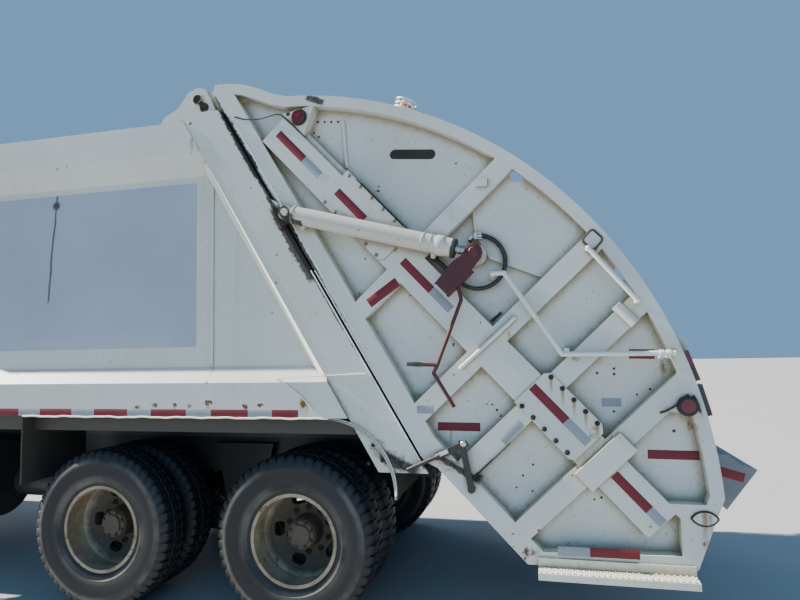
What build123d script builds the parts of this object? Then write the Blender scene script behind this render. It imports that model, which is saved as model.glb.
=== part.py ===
from build123d import *
import math
import os

os.makedirs("parts", exist_ok=True)

# Sizes in millimetres. X points to the truck's front, Y to its left, Z up.
# X is counted from the rearmost axle here and shifted to mid length when a node is saved.

WHEELBASE = 5250
FRONT_OVERHANG = 1370
FRONT_REACH = WHEELBASE + FRONT_OVERHANG
REAR_REACH = -2623
MID_X = (FRONT_REACH + REAR_REACH) / 2

# Running gear
TYRE_R = 525
TYRE_SIDES = 48
TYRE_SIDE_R = 497
TYRE_W = 276
TREAD_W = 216
SEAT_R = 286
WHEEL_Z = TYRE_R
TANDEM = 1397
DUAL_Y = 915
DUAL_PITCH = 326
FRONT_Y = 1045
HUB_BORE_R = 46
HUB_R = 96
HUB_FACE = 150
STUD_SEAT_R = 170
HAND_HOLES = 5
HAND_HOLE_R = 198
HAND_HOLE = (96, 58)
RIM_WALL = 14
FIT = 0.4
KING_PIN_Y = 850
KING_PIN_R = 26
KING_BOSS_R = 58
KING_BOSS_Z = (475, 590)
BOSS_GAP = 5
FORK_T = 42
AXLE_BEAM_Z = (420, 520)
SPRING_Y = (352, 428)
SPRING_HALF = 720
HOUSING_R = 80
HOUSING_END = 640
BOWL_R = 185
WALK_BEAM_Y = (450, 540)
SADDLE_T = 70
SHAFT_R = 50
SHAFT_Z = 600
SHAFT_NOSE = 330
SHAFT_TAIL = 215
ENGINE_BACK = WHEELBASE - 400
GEARBOX_LEN = 750
GEARBOX_CLEAR = 60
TOW_EYE_R = 24

# Frame
RAIL_OUT = 430
RAIL_FLANGE = 80
RAIL_WEB = 10
RAIL_TOP = 1035
RAIL_LOW = 780
RAIL_REAR = -760
RAIL_FRONT = FRONT_REACH - 140
CROSS_T = 60
CARRIER_X = 3300
GEARBOX_CROSS_X = ENGINE_BACK - GEARBOX_LEN - GEARBOX_CLEAR - CROSS_T
CROSS_X = (RAIL_REAR + 60, TANDEM / 2 - 30, 2300, CARRIER_X, GEARBOX_CROSS_X, RAIL_FRONT - 180)

# Tanks and boxes on the frame's sides
FUEL_AT = (3300, 760, 740)
FUEL_R = 290
FUEL_LEN = 1300
FUEL_ARMS_X = (2900, 3640)
OIL_X = (2450, 3350)
OIL_Z = (620, 1080)
BATTERY_X = (3550, 4150)
BATTERY_Z = (560, 1000)
BOX_OUT = 1050
AIR_AT = (2330, 620, 700)
AIR_R = 120
AIR_LEN = 500
STACK_Y = -900
SILENCER_R = 125
CLEANER_Y = 860
CLEANER_R = 170

# Load body
WALL_Y = 1120
WALL_T = 60
POST_Y = 1195
RAIL_Y = 1200
SKIRT_Y = 1220
SKIRT_T = 20
SKIRT_LOW = 1280
LEDGE_TOP = 1600
LEDGE_LOW = 1500
ROOF_Z = 3330
ROOF_FLAT_Y = 700
EAVE_Z = 3268
EAVE_LOW = 3050
UNDER_LOW = 2900
BODY_LOW = 1170
BODY_FRONT = WHEELBASE - 900
JOINT_TILT = 59.8
JOINT_X0 = -1424
POST_W = 262
SEAM_X = (590, 618)
SEAM_T = 9
JOINT_GAP = 15
FOOT_Z = 960
PIPE_R = 14
PIPE_Y = (905, 965)
PIPE_BACK = 1080
PIPE_CLAMP_Y = (880, 990)
PIPE_CLAMP_W = 46
PIPE_CLAMP_PITCH = 740
FENDER_FRONT = 2031
FENDER_BACK = -675
FENDER_LOW = 808
FENDER_BEND = 450
FENDER_T = 12
FENDER_IN = 620

# Tailgate hinge, side arc and track
HINGE_X = 685
HINGE_Z = 3420
HINGE_PIN_R = 32
HINGE_LUG_R = 74
EAR_OUT = (1130, 1160)
EAR_IN = (990, 1020)
LUG_Y = (1030, 1120)
EAR_TOP = ((959, 0), (857, 49), (764, 159), (690, 185), (645, 170), (598, 90), (550, -8))
ARC_X = 177
ARC_Z = 736
ARC_R = 2628
ARC_START_X = -75
ARC_END_Z = 873
HUMP = ((548, 3503), (430, 3496), (330, 3477), (217, 3432), (120, 3387), (18, 3358))
FOOT_BACK = ((-2430, 834), (-2300, 500))
FOOT_LINE = ((-1420, 478), (-918, 996))
FRONT_EDGE_Z = (1032, 3440)
PLATE_Y = 1085
PLATE_T = 15
RIM_Y = 1190
RIM_W = 70
FRONT_BAND = 125
FOOT_BAND = 112
COVER_T = 8
BEACON_ANGLE = 110.5
BEACON_Y = 1110
BEACON_R = 72
LAMP_FLANGE_R = 51
LAMP_LENS_R = 38
REAR_LAMP = (170, 84, 26)
REAR_LAMP_ANGLES = (161.5, 165.7)
TRACK_TILT = 47
TRACK_X0 = 134
TRACK_Z0 = 3162
TRACK_LEN = 3330
TRACK_W = 210
TRACK_WALL = 18
BRACE_W = 118
BRACE_AT = (1300, 2000, 2416, 2875)

# Packer: slide panel, sweep blade and hopper floor
LOW_HINGE_X = -1743
LOW_HINGE_Z = 1150
SLIDE_TRAVEL = 900
BLADE_LEN = 600
FLOOR_GAP = 20
FLOOR_T = 40
PANEL_T = 120
PANEL_LEN = 1500
PANEL_Y = 1073
SHOE_LEN = 420
SHOE_W = 60
SWEEP_TUBE_R = 60
SWEEP_PIN_R = 32
PANEL_TUBES_Y = (-900, -250, 600)
PANEL_TUBE_LEN = 300
LUG_ARM = 240
LUG_ANGLE = 200
SWEEP_BASE = (1150, 170)
SWEEP_CYL_Y = 365
SLIDE_CYL_Y = 900
SLIDE_CYL_OFF = 210
TOP_TUBE = (60, 3230)
TOP_TUBE_R = 60
HOSE_R = 13
HOSE_Y = 1150
HOSE_ARC = (-1190, 2203)
HOSE_ARC_R = 160
HOSE_START = (-914, 2256)

# Steps, hand rails, latches and props on the tailgate's sides, places as (x, z)
STEP_X = (-2288, -1478)
STEP_TOP = 472
STEP_REACH = 110
RAIL_R = 14
LOW_RAIL_R = 12
RAIL_STAND = 60
LONG_RAIL = ((-1278, 2119), (-1346, 2119), (-1650, 1648), (-2234, 1644))
SHORT_RAIL = ((-1814, 2237), (-2062, 1930))
LOW_RAIL = ((-1075, 1577), (-1393, 1858))
RAIL_CLAMP_X = (-1690, -1662)
RAIL_CLAMP_Z = (1655, 1680)
LATCH_ARM = ((-905, 1078), (-1092, 1158), (-1106, 1128), (-918, 1040))
LATCH_LINK = ((-1052, 1160), (-1086, 1160), (-1140, 872), (-1104, 872))
LATCH_ROD = ((-745, 985), (-940, 1072))
LATCH_KNOB = (-1120, 886)
LATCH_T = 24
PROP_PLATE = (
    (-1150, 2292), (-1108, 2226), (-1066, 2203), (-950, 2073), (-1020, 1999), (-1146, 2115), (-1226, 2214)
)
PROP_WEB = ((-1014, 1997), (-1020, 1991), (-1174, 2134), (-1166, 2142))
PROP_RAIL = ((-950, 2073), (-944, 2067), (-1058, 2196), (-1066, 2203))
PROP_HANDLE = ((-1078, 2062), (-1098, 1971), (-948, 1597), (-925, 1551), (-1041, 1355))
PROP_GRIP = (-771, 1606)
PROP_ROD_R = 11

# Lift cylinders
LIFT_BASE = (-4, 2563)
LIFT_EYE = (-1180, 2245)
LIFT_Y = 1256
LIFT_TUBE_R = 56
LIFT_ROD_R = 27
LIFT_TUBE_END = 1083

# Push-out panel
EJECTOR_T = 70
EJECTOR_RUNNER_Y = (860, 940)
EJECTOR_GAP = 15

# Cab
CAB_Y = 1150
CAB_WALL = 50
CAB_BACK = WHEELBASE - 490
CAB_FACE = FRONT_REACH - 60
CAB_FLOOR = 1180
CAB_LOW = 1130
CAB_NOSE_LOW = 960
CAB_ROOF = 2960
TILT_X = CAB_FACE - 90
TILT_Z = 880
DOOR_REAR = WHEELBASE + 220
DOOR_FRONT = CAB_FACE - 220
DOOR_LOW = 1200
DOOR_TOP = 2800
SILL_Z = 1920
DOOR_GAP = 8
BUMPER_HALF = 1210
DOOR_HINGES_Z = (1420, 2420)
SCREEN_TOP_X = CAB_FACE - 175
SCREEN_LOW_X = CAB_FACE - 30
SCREEN_LOW_Z = 1950
SCREEN_HALF = 1010
REAR_PANE = (620, 2050, 2600)
GRILLE_HALF = 520
GRILLE_Z = (1220, 1720)
GRILLE_RIM = 30
GRILLE_SLATS = 7
SLAT_PITCH = 60
SLAT_T = 28
SEAT_Y = (480, 960)
COVER_HALF = 330
WHEEL_AT = (CAB_FACE - 800, 700, 1860)
WHEEL_LEAN = (-0.55, 0, 0.83)
WHEEL_R = 225
PANE_T = 10
MIRROR_Z = (2100, 2560)
MIRROR_Y = (1260, 1440)
MARKER_Y = (-900, -180, 0, 180, 900)
HEAD_LAMPS_Y = (765, 875)
HEAD_LAMP_R = 50
POCKET_Y = (700, 970)
POCKET_Z = (560, 700)
SCREEN_SPAN = (2050, 2790)
DOOR_AXIS_X = DOOR_FRONT + 4
DOOR_AXIS_Y = CAB_Y + 14


# Helpers

def polygon(points):
    """Face in the side plane through (x, z) points."""
    return Plane.XZ * make_face(Polyline(*points, close=True))


def section(points):
    """Face across the truck through (y, z) points."""
    return Plane.YZ * make_face(Polyline(*points, close=True))


def side_prism(points, y_low, y_high):
    """Plate with a side outline, from y_low to y_high."""
    return extrude(Pos(0, y_low, 0) * polygon(points), y_high - y_low, dir=(0, 1, 0))


def cross_prism(points, x_low, x_high):
    """Bar with an outline across the truck, from x_low to x_high."""
    return extrude(Pos(x_low, 0, 0) * section(points), x_high - x_low, dir=(1, 0, 0))


def block(x_low, x_high, y_low, y_high, z_low, z_high):
    """Box given by its faces."""
    size = Box(x_high - x_low, y_high - y_low, z_high - z_low)
    return Pos((x_low + x_high) / 2, (y_low + y_high) / 2, (z_low + z_high) / 2) * size


def bar_y(radius, x, z, y_low, y_high):
    """Round bar across the truck."""
    return Pos(x, (y_low + y_high) / 2, z) * Rot(90, 0, 0) * Cylinder(radius, y_high - y_low)


def bar_between(radius, start, end):
    """Round bar from one point to another."""
    path = Vector(*end) - Vector(*start)
    middle = (Vector(*start) + Vector(*end)) * 0.5
    return Plane(origin=middle, z_dir=path) * Cylinder(radius, path.length)


def both_sides(shape):
    """The shape and its mirror image on the truck's other side."""
    return shape + mirror(shape, about=Plane.XZ)


def joint_x(z):
    """X of the slanted joint between load body and tailgate at height z."""
    return JOINT_X0 + z / math.tan(math.radians(JOINT_TILT))


def track_point(along, off=0):
    """(x, z) at a distance down the tailgate's track and a distance out to its rear side."""
    cos_t = math.cos(math.radians(TRACK_TILT))
    sin_t = math.sin(math.radians(TRACK_TILT))
    x = TRACK_X0 - along * cos_t - off * sin_t
    z = TRACK_Z0 - along * sin_t + off * cos_t
    return (x, z)


def track_bar(start, end, off_low, off_high, y_low, y_high):
    """Bar that lies along the track."""
    corners = [
        track_point(start, off_low),
        track_point(end, off_low),
        track_point(end, off_high),
        track_point(start, off_high),
    ]
    return side_prism(corners, y_low, y_high)


def save(name, shape):
    """One node, moved so that X is counted from mid length."""
    export_step(Pos(-MID_X, 0, 0) * shape, f"parts/{name}.step")


# Wheels

def wheel_section(radius, y):
    """Many-sided section of a wheel, flat side down, at a place along its axle."""
    turned = Rot(0, 0, 180 / TYRE_SIDES) * RegularPolygon(radius, TYRE_SIDES, major_radius=False)
    return Pos(0, y, 0) * (Plane.XZ * turned)


def tyre():
    """Tyre with a flat tread, sloped shoulders and dished sides, in flat facets."""
    half = TYRE_W / 2
    tread = TREAD_W / 2
    seat = SEAT_R + FIT
    stations = ((TYRE_SIDE_R, -half), (TYRE_R, -tread), (TYRE_R, tread), (TYRE_SIDE_R, half))
    body = loft([wheel_section(radius, y) for radius, y in stations], ruled=True)
    body -= loft([wheel_section(seat, -half), wheel_section(seat, half)], ruled=True)
    for side in (1, -1):
        body -= loft([wheel_section(seat, side * tread), wheel_section(TYRE_SIDE_R, side * half)], ruled=True)
    return body


def rim_profile(out_y, in_y, disc_y, hub_y):
    """Half section of a rim: barrel, dished disc and bored hub, from (radius, y) points."""
    wall = SEAT_R - RIM_WALL
    return [
        (SEAT_R, in_y),
        (SEAT_R, out_y),
        (wall, out_y),
        (HUB_R, disc_y + RIM_WALL),
        (HUB_R, hub_y),
        (HUB_BORE_R + FIT, hub_y),
        (HUB_BORE_R + FIT, disc_y - 60),
        (HUB_R, disc_y - 60),
        (HUB_R, disc_y - RIM_WALL),
        (wall, out_y - 60),
        (wall, in_y),
    ]


def hand_holes(disc_low, disc_high):
    """Ring of oval holes through a wheel disc, between two places along the axle."""
    holes = None
    for turn in range(HAND_HOLES):
        oval = Pos(HAND_HOLE_R, 0, 0) * Rot(0, 0, 90) * SlotOverall(*HAND_HOLE)
        cut = extrude(oval, disc_high - disc_low)
        cut = Rot(0, turn * 360 / HAND_HOLES, 0) * (Pos(0, disc_high, 0) * Rot(90, 0, 0) * cut)
        holes = cut if holes is None else holes + cut
    return holes


def front_rim():
    """Front rim: a convex disc that stands out near the outer face."""
    half = TREAD_W / 2
    face = make_face(Polyline(*rim_profile(half, -half, 100, HUB_FACE), close=True))
    cap = Pos(0, HUB_FACE + 6, 0) * Rot(90, 0, 0) * Cylinder(HUB_R - 14, 12)
    return revolve(face, Axis.Y) - hand_holes(40, 140) + cap


def dual_rims():
    """Two barrels on one dished disc pair, with a hub that stands out of the outer one."""
    half = TREAD_W / 2
    out_mid = DUAL_PITCH / 2
    wall = SEAT_R - RIM_WALL
    profile = [
        (SEAT_R, out_mid + half),
        (wall - 8, out_mid + half),
        (wall - 8, out_mid + half - 24),
        (wall, out_mid + half - 30),
        (wall, 110),
        (236, 64),
        (STUD_SEAT_R, 16),
        (HUB_R, 16),
        (HUB_R, HUB_FACE - 20),
        (HUB_R - 10, HUB_FACE),
        (HUB_BORE_R + FIT, HUB_FACE),
        (HUB_BORE_R + FIT, -out_mid - half + 60),
        (HUB_R, -out_mid - half + 60),
        (HUB_R, -16),
        (STUD_SEAT_R, -16),
        (236, -64),
        (wall, -110),
        (wall, -out_mid - half),
        (SEAT_R, -out_mid - half),
    ]
    face = make_face(Polyline(*profile, close=True))
    hollow = [
        (wall, 88),
        (wall, -88),
        (240, -46),
        (STUD_SEAT_R + 10, -2),
        (STUD_SEAT_R + 10, 2),
        (240, 46),
    ]
    face -= make_face(Polyline(*hollow, close=True))
    cap = Pos(0, HUB_FACE + 5, 0) * Rot(90, 0, 0) * Cylinder(HUB_R - 34, 14)
    return revolve(face, Axis.Y) - hand_holes(-120, 120) + cap


def place_wheel(shape, x, y, side):
    """Wheel piece on its axle, turned to face outwards."""
    placed = Pos(x, y, WHEEL_Z) * shape
    return placed if side > 0 else mirror(placed, about=Plane.XZ)


# Frame and axles

def frame_rails():
    """Two channel rails joined by cross members, with rests for the cab's rear edge."""
    z_in = (RAIL_LOW + RAIL_WEB, RAIL_TOP - RAIL_WEB)
    y_tip = RAIL_OUT - RAIL_FLANGE
    channel = [
        (y_tip, RAIL_LOW),
        (RAIL_OUT, RAIL_LOW),
        (RAIL_OUT, RAIL_TOP),
        (y_tip, RAIL_TOP),
        (y_tip, z_in[1]),
        (RAIL_OUT - RAIL_WEB, z_in[1]),
        (RAIL_OUT - RAIL_WEB, z_in[0]),
        (y_tip, z_in[0]),
    ]
    rails = both_sides(cross_prism(channel, RAIL_REAR, RAIL_FRONT))
    web = RAIL_OUT - RAIL_WEB
    for x in CROSS_X:
        rails += block(x, x + CROSS_T, -web, web, RAIL_LOW + 30, RAIL_TOP - 30)
    stand = both_sides(block(CAB_BACK + 10, CAB_BACK + 90, 360, 430, RAIL_TOP, CAB_LOW - FIT))
    return rails + stand


def front_axle():
    """Beam axle under two leaf spring packs."""
    x = WHEELBASE
    low, high = AXLE_BEAM_Z
    eye_low, eye_high = KING_BOSS_Z
    beam = block(x - 45, x + 45, -700, 700, low, high)
    ends = both_sides(block(x - 45, x + 45, 690, KING_PIN_Y - 50, eye_low, eye_high))
    drop = both_sides(block(x - 45, x + 45, 660, 720, low, eye_high))
    boss = both_sides(Pos(x, KING_PIN_Y, (eye_low + eye_high - 5) / 2) * Cylinder(KING_BOSS_R, eye_high - eye_low + 5))
    bore = both_sides(Pos(x, KING_PIN_Y, WHEEL_Z) * Cylinder(KING_PIN_R + FIT, 400))
    side = [(SPRING_HALF, 690), (300, 600), (90, high)]
    top = [(SPRING_HALF, 710), (300, 650), (0, 610)]
    spring = side_prism(
        [(x - run, z) for run, z in side]
        + [(x + run, z) for run, z in side[::-1]]
        + [(x + run, z) for run, z in top]
        + [(x - run, z) for run, z in top[1::-1]],
        *SPRING_Y,
    )
    for end in (x - SPRING_HALF, x + SPRING_HALF):
        spring += block(end - 30, end + 30, *SPRING_Y, 680, RAIL_LOW)
    return beam + ends + drop + boss - bore + both_sides(spring)


def knuckle():
    """Left steering knuckle: fork over the axle's end, king pin, spindle and arm."""
    x = WHEELBASE
    low = KING_BOSS_Z[0] - 5 - BOSS_GAP
    high = KING_BOSS_Z[1] + BOSS_GAP
    fork = None
    for z in (low - FORK_T / 2, high + FORK_T / 2):
        eye = Pos(x, KING_PIN_Y, z) * Cylinder(KING_BOSS_R, FORK_T)
        eye += block(x - 50, x + 50, KING_PIN_Y + 20, KING_PIN_Y + 70, z - FORK_T / 2, z + FORK_T / 2)
        fork = eye if fork is None else fork + eye
    fork += block(x - 50, x + 50, KING_PIN_Y + 66, KING_PIN_Y + 90, low - FORK_T, high + FORK_T)
    pin = Pos(x, KING_PIN_Y, (low + high) / 2) * Cylinder(KING_PIN_R, high - low + 2 * FORK_T + 20)
    spindle = bar_y(HUB_BORE_R, x, WHEEL_Z, KING_PIN_Y + 80, FRONT_Y + HUB_FACE - 10)
    arm = block(x - 190, x - 40, KING_PIN_Y - 10, KING_PIN_Y + 30, low - FORK_T + 2, low - 10)
    return pin + fork + spindle + arm


def rear_suspension():
    """Two drive axles on walking beams and frame saddles."""
    group = None
    for x in (0, TANDEM):
        housing = bar_y(HOUSING_R, x, WHEEL_Z, -HOUSING_END, HOUSING_END)
        spindles = both_sides(bar_y(HUB_BORE_R, x, WHEEL_Z, HOUSING_END, DUAL_Y + HUB_FACE - 10))
        bowl = Pos(x, 0, WHEEL_Z) * Sphere(BOWL_R)
        nose = bar_between(85, (x + 70, 0, SHAFT_Z), (x + SHAFT_NOSE, 0, SHAFT_Z))
        tail = bar_between(60, (x, 0, SHAFT_Z), (x - SHAFT_TAIL, 0, SHAFT_Z))
        axle = housing + spindles + bowl + nose + tail
        group = axle if group is None else group + axle
    mid = TANDEM / 2
    beam = side_prism(
        [
            (-110, 430),
            (110, 400),
            (mid - 150, 360),
            (mid + 150, 360),
            (TANDEM - 110, 400),
            (TANDEM + 110, 430),
            (TANDEM + 110, 600),
            (TANDEM - 110, 610),
            (mid, 500),
            (110, 610),
            (-110, 600),
        ],
        *WALK_BEAM_Y,
    )
    saddle = side_prism(
        [
            (mid - 110, 450),
            (mid + 110, 450),
            (mid + 240, 1000),
            (mid - 240, 1000),
        ],
        RAIL_OUT,
        RAIL_OUT + SADDLE_T,
    )
    return group + both_sides(beam + saddle)


def engine_block():
    """Plain heavy block of the engine on its frame feet."""
    body = block(ENGINE_BACK, WHEELBASE + 650, -330, 330, 620, 1120)
    for x in (ENGINE_BACK + 100, WHEELBASE + 450):
        body += both_sides(block(x, x + 100, 320, 410, RAIL_TOP, RAIL_TOP + 40))
    return body


def driveline():
    """Gearbox, two shaft lengths and the carrier bearing under a cross member."""
    rear = ENGINE_BACK - GEARBOX_LEN
    box = side_prism(
        [
            (ENGINE_BACK, 640),
            (ENGINE_BACK, 1020),
            (rear + 300, 960),
            (rear, 760),
            (rear, 540),
            (rear + 300, 560),
        ],
        -190,
        190,
    )
    shaft = bar_between(SHAFT_R, (TANDEM + SHAFT_NOSE + FIT, 0, SHAFT_Z), (rear + 10, 0, SHAFT_Z))
    carrier = block(CARRIER_X + 5, CARRIER_X + 55, -110, 110, 560, RAIL_LOW + 30)
    short = bar_between(SHAFT_R, (SHAFT_NOSE + FIT, 0, SHAFT_Z), (TANDEM - SHAFT_TAIL - FIT, 0, SHAFT_Z))
    return box + shaft + carrier + short


def exhaust_stack():
    """Upright silencer and tail pipe behind the cab, on a bracket from the frame."""
    x = (BODY_FRONT + CAB_BACK) / 2 + 15
    silencer = Pos(x, STACK_Y, 1900) * Cylinder(SILENCER_R, 1300)
    pipe = Pos(x, STACK_Y, 2940) * Cylinder(55, 900)
    arm = block(x - 40, x + 40, STACK_Y - 60, -360, RAIL_TOP, RAIL_TOP + 90)
    post = block(x - 40, x + 40, STACK_Y - 40, STACK_Y + 40, RAIL_TOP, 1260)
    lead = bar_between(50, (x, STACK_Y, 1200), (x, -420, 1150))
    cleaner = Pos(x, CLEANER_Y, 1900) * Cylinder(CLEANER_R, 700)
    stem = Pos(x, CLEANER_Y, 1330) * Cylinder(60, 600)
    stem_arm = block(x - 40, x + 40, 360, CLEANER_Y + 40, RAIL_TOP, RAIL_TOP + 60)
    return silencer + pipe + arm + post + lead + cleaner + stem + stem_arm


def side_tanks():
    """Round fuel tank on the left, oil tank and battery box on the right."""
    fuel = Pos(FUEL_AT[0], FUEL_AT[1], FUEL_AT[2]) * Rot(0, 90, 0) * Cylinder(FUEL_R, FUEL_LEN)
    fuel_arms = None
    for x in FUEL_ARMS_X:
        arm = block(x, x + 60, RAIL_OUT, 700, 850, 930)
        fuel_arms = arm if fuel_arms is None else fuel_arms + arm
    oil = block(*OIL_X, -BOX_OUT, -RAIL_OUT, *OIL_Z)
    battery = block(*BATTERY_X, -BOX_OUT, -RAIL_OUT, *BATTERY_Z)
    air = Pos(*AIR_AT) * Rot(0, 90, 0) * Cylinder(AIR_R, AIR_LEN)
    air_arm = block(AIR_AT[0] - 30, AIR_AT[0] + 30, RAIL_OUT, AIR_AT[1] - 60, AIR_AT[2] + 80, AIR_AT[2] + 160)
    return fuel + fuel_arms + oil + battery + air + air_arm


def front_bumper():
    """Deep steel bumper with swept ends and lamp pockets."""
    outline = [
        (FRONT_REACH, 0),
        (FRONT_REACH, 1000),
        (FRONT_REACH - 70, BUMPER_HALF),
        (FRONT_REACH - 200, BUMPER_HALF),
        (FRONT_REACH - 140, 1000),
        (FRONT_REACH - 140, 0),
    ]
    plate = extrude(Pos(0, 0, 430) * make_face(Polyline(*outline, close=True)), 400)
    pocket = block(CAB_FACE, FRONT_REACH + 10, *POCKET_Y, *POCKET_Z)
    ear = block(TILT_X - 55, FRONT_REACH - 140, RAIL_OUT, 470, RAIL_LOW, TILT_Z + 45)
    pin = bar_y(20, TILT_X, TILT_Z, 470, 535)
    tow = side_prism(
        [(CAB_FACE - 90, 430), (CAB_FACE - 80, 340), (CAB_FACE + 40, 325), (CAB_FACE + 40, 430)], 380, 410
    )
    tow -= bar_y(TOW_EYE_R, CAB_FACE, 372, 370, 420)
    return both_sides(plate - pocket + ear + pin + tow)


def cab_steps():
    """Boarding steps ahead of each front wheel."""
    back = WHEELBASE + 680
    front = CAB_FACE - 160
    cheek = block(back, front, 1000, 1150, 430, 450) + block(back, front, 1000, 1150, 680, 700)
    plates = block(back, back + 15, 960, 1150, 430, 925) + block(front - 15, front, 960, 1150, 430, 925)
    arm = block(back + 170, back + 230, RAIL_OUT, 1010, 820, 880)
    inner = block(back, front, 985, 1000, 430, 925)
    return both_sides(cheek + plates + arm + inner)


# Cab

def cab_outline(inset):
    """Side outline of the cab, drawn in by inset."""
    back = CAB_BACK + inset
    low = CAB_LOW + inset
    nose = CAB_NOSE_LOW + inset
    roof = CAB_ROOF - inset
    return [
        (back, low),
        (back, roof - 60),
        (back + 100, roof),
        (CAB_FACE - 330 - inset / 2, roof),
        (SCREEN_TOP_X - inset, roof - 90),
        (SCREEN_LOW_X - inset, SCREEN_LOW_Z),
        (CAB_FACE - inset, 1800),
        (CAB_FACE - inset, nose),
        (WHEELBASE + 680 + inset, nose),
        (WHEELBASE + 655 + inset, low),
    ]


def cab_shell():
    """Hollow cab with screen, rear and door openings cut, and its tilt lugs."""
    outer = side_prism(cab_outline(0), -CAB_Y, CAB_Y)
    corners = outer.edges().filter_by(Axis.Z).sort_by(Axis.X)[-2:]
    outer = fillet(corners, 90)
    inner = side_prism(cab_outline(CAB_WALL), -CAB_Y + CAB_WALL, CAB_Y - CAB_WALL)
    inner &= block(CAB_BACK, CAB_FACE, -CAB_Y, CAB_Y, CAB_FLOOR, CAB_ROOF)
    shell = outer - inner
    shell -= both_sides(side_prism(door_outline(-DOOR_GAP), CAB_Y - CAB_WALL - 5, CAB_Y + 5))
    screen = side_prism(
        [
            (CAB_FACE - 260, SCREEN_SPAN[0]),
            (CAB_FACE + 140, SCREEN_SPAN[0]),
            (CAB_FACE + 40, SCREEN_SPAN[1]),
            (CAB_FACE - 360, SCREEN_SPAN[1]),
        ],
        -SCREEN_HALF,
        SCREEN_HALF,
    )
    pane, pane_low, pane_high = REAR_PANE
    rear = block(CAB_BACK - 100, CAB_BACK + 80, -pane, pane, pane_low, pane_high)
    grille = block(CAB_FACE - GRILLE_RIM, CAB_FACE + 50, -GRILLE_HALF, GRILLE_HALF, *GRILLE_Z)
    half = CAB_Y - CAB_WALL
    under = block(WHEELBASE + 550, CAB_FACE - CAB_WALL, -half, half, CAB_NOSE_LOW - 50, CAB_LOW)
    shell -= under
    foot = TILT_Z - 30
    lug = side_prism(
        [(TILT_X - 60, CAB_LOW), (TILT_X - 45, foot), (TILT_X + 35, foot), (TILT_X + 35, CAB_LOW)], 477, 520
    )
    lug -= bar_y(20 + FIT, TILT_X, TILT_Z, 300, 600)
    shell = shell - screen - rear - grille + both_sides(lug)
    for z in DOOR_HINGES_Z:
        pin = Pos(DOOR_AXIS_X, DOOR_AXIS_Y, z) * Cylinder(7, 112)
        pin += Pos(DOOR_AXIS_X, DOOR_AXIS_Y, z + 41) * Cylinder(13, 30)
        pin += Pos(DOOR_AXIS_X, DOOR_AXIS_Y, z - 41) * Cylinder(13, 30)
        pin += block(DOOR_AXIS_X + 6, DOOR_AXIS_X + 40, CAB_Y - 5, CAB_Y + 8, z - 56, z - 26)
        pin += block(DOOR_AXIS_X + 6, DOOR_AXIS_X + 40, CAB_Y - 5, CAB_Y + 8, z + 26, z + 56)
        shell += both_sides(pin)
    return shell


def door_outline(grow):
    """Side outline of a door; a negative grow gives the larger opening."""
    return [
        (DOOR_REAR + grow, DOOR_LOW + grow),
        (DOOR_REAR + grow, DOOR_TOP - grow - 80),
        (DOOR_REAR + grow + 80, DOOR_TOP - grow),
        (DOOR_FRONT - grow - 30, DOOR_TOP - grow),
        (DOOR_FRONT - grow, 2050),
        (DOOR_FRONT - grow, DOOR_LOW + grow),
    ]


def window_outline(grow):
    """Side outline of a door's window."""
    return [
        (DOOR_REAR + 90 - grow, SILL_Z - grow),
        (DOOR_REAR + 90 - grow, DOOR_TOP - 150 + grow),
        (DOOR_FRONT - 110 + grow, DOOR_TOP - 150 + grow),
        (DOOR_FRONT - 90 + grow, 2050),
        (DOOR_FRONT - 90 + grow, SILL_Z - grow),
    ]


def door():
    """Left door: full thickness panel with its window cut, hinges and handle."""
    panel = side_prism(door_outline(0), CAB_Y - CAB_WALL, CAB_Y)
    panel -= side_prism(window_outline(0), 1000, 1300)
    handle = block(DOOR_REAR + 60, DOOR_REAR + 220, CAB_Y, CAB_Y + 28, 1760, 1795)
    for z in DOOR_HINGES_Z:
        panel += Pos(DOOR_AXIS_X, DOOR_AXIS_Y, z) * Cylinder(13, 50)
        panel += block(DOOR_AXIS_X - 60, DOOR_AXIS_X, CAB_Y, CAB_Y + 8, z - 25, z + 25)
        panel -= Pos(DOOR_AXIS_X, DOOR_AXIS_Y, z) * Cylinder(7 + FIT, 80)
    return panel + handle


def door_glass():
    """Left door's window pane."""
    return side_prism(window_outline(-FIT), CAB_Y - 32, CAB_Y - 22)


def cab_glass():
    """Windscreen and rear pane."""
    slope = (SCREEN_LOW_X - SCREEN_TOP_X) / (CAB_ROOF - 90 - SCREEN_LOW_Z)
    low_z = SCREEN_SPAN[0] + FIT
    high_z = SCREEN_SPAN[1] - FIT
    low_x = SCREEN_LOW_X - (low_z - SCREEN_LOW_Z) * slope
    high_x = SCREEN_LOW_X - (high_z - SCREEN_LOW_Z) * slope
    screen = side_prism(
        [(low_x - 20 - PANE_T, low_z), (low_x - 20, low_z), (high_x - 20, high_z), (high_x - 20 - PANE_T, high_z)],
        -SCREEN_HALF + FIT, SCREEN_HALF - FIT
    )
    half, low, high = REAR_PANE
    start = CAB_BACK + 15
    rear = block(start, start + PANE_T, FIT - half, half - FIT, low + FIT, high - FIT)
    return screen + rear


def cab_interior():
    """Two seats on the floor, the engine cover between them and the dashboard."""
    floor = CAB_FLOOR
    back = CAB_BACK + CAB_WALL
    inner_face = CAB_FACE - CAB_WALL
    seat = block(back + 190, back + 670, *SEAT_Y, floor, 1640) + side_prism(
        [(back + 70, 1500), (back + 200, 1500), (back + 140, 2300), (back + 40, 2300)], *SEAT_Y
    )
    dash = side_prism(
        [
            (inner_face - 390, 1500),
            (inner_face - 310, 1400),
            (inner_face, 1400),
            (inner_face - 30, 1900),
            (inner_face - 260, 1880),
        ],
        -1060,
        1060,
    )
    cover = block(back + 5, WHEELBASE + 650, -COVER_HALF, COVER_HALF, floor, 1480)
    return both_sides(seat) + dash + cover


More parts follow.
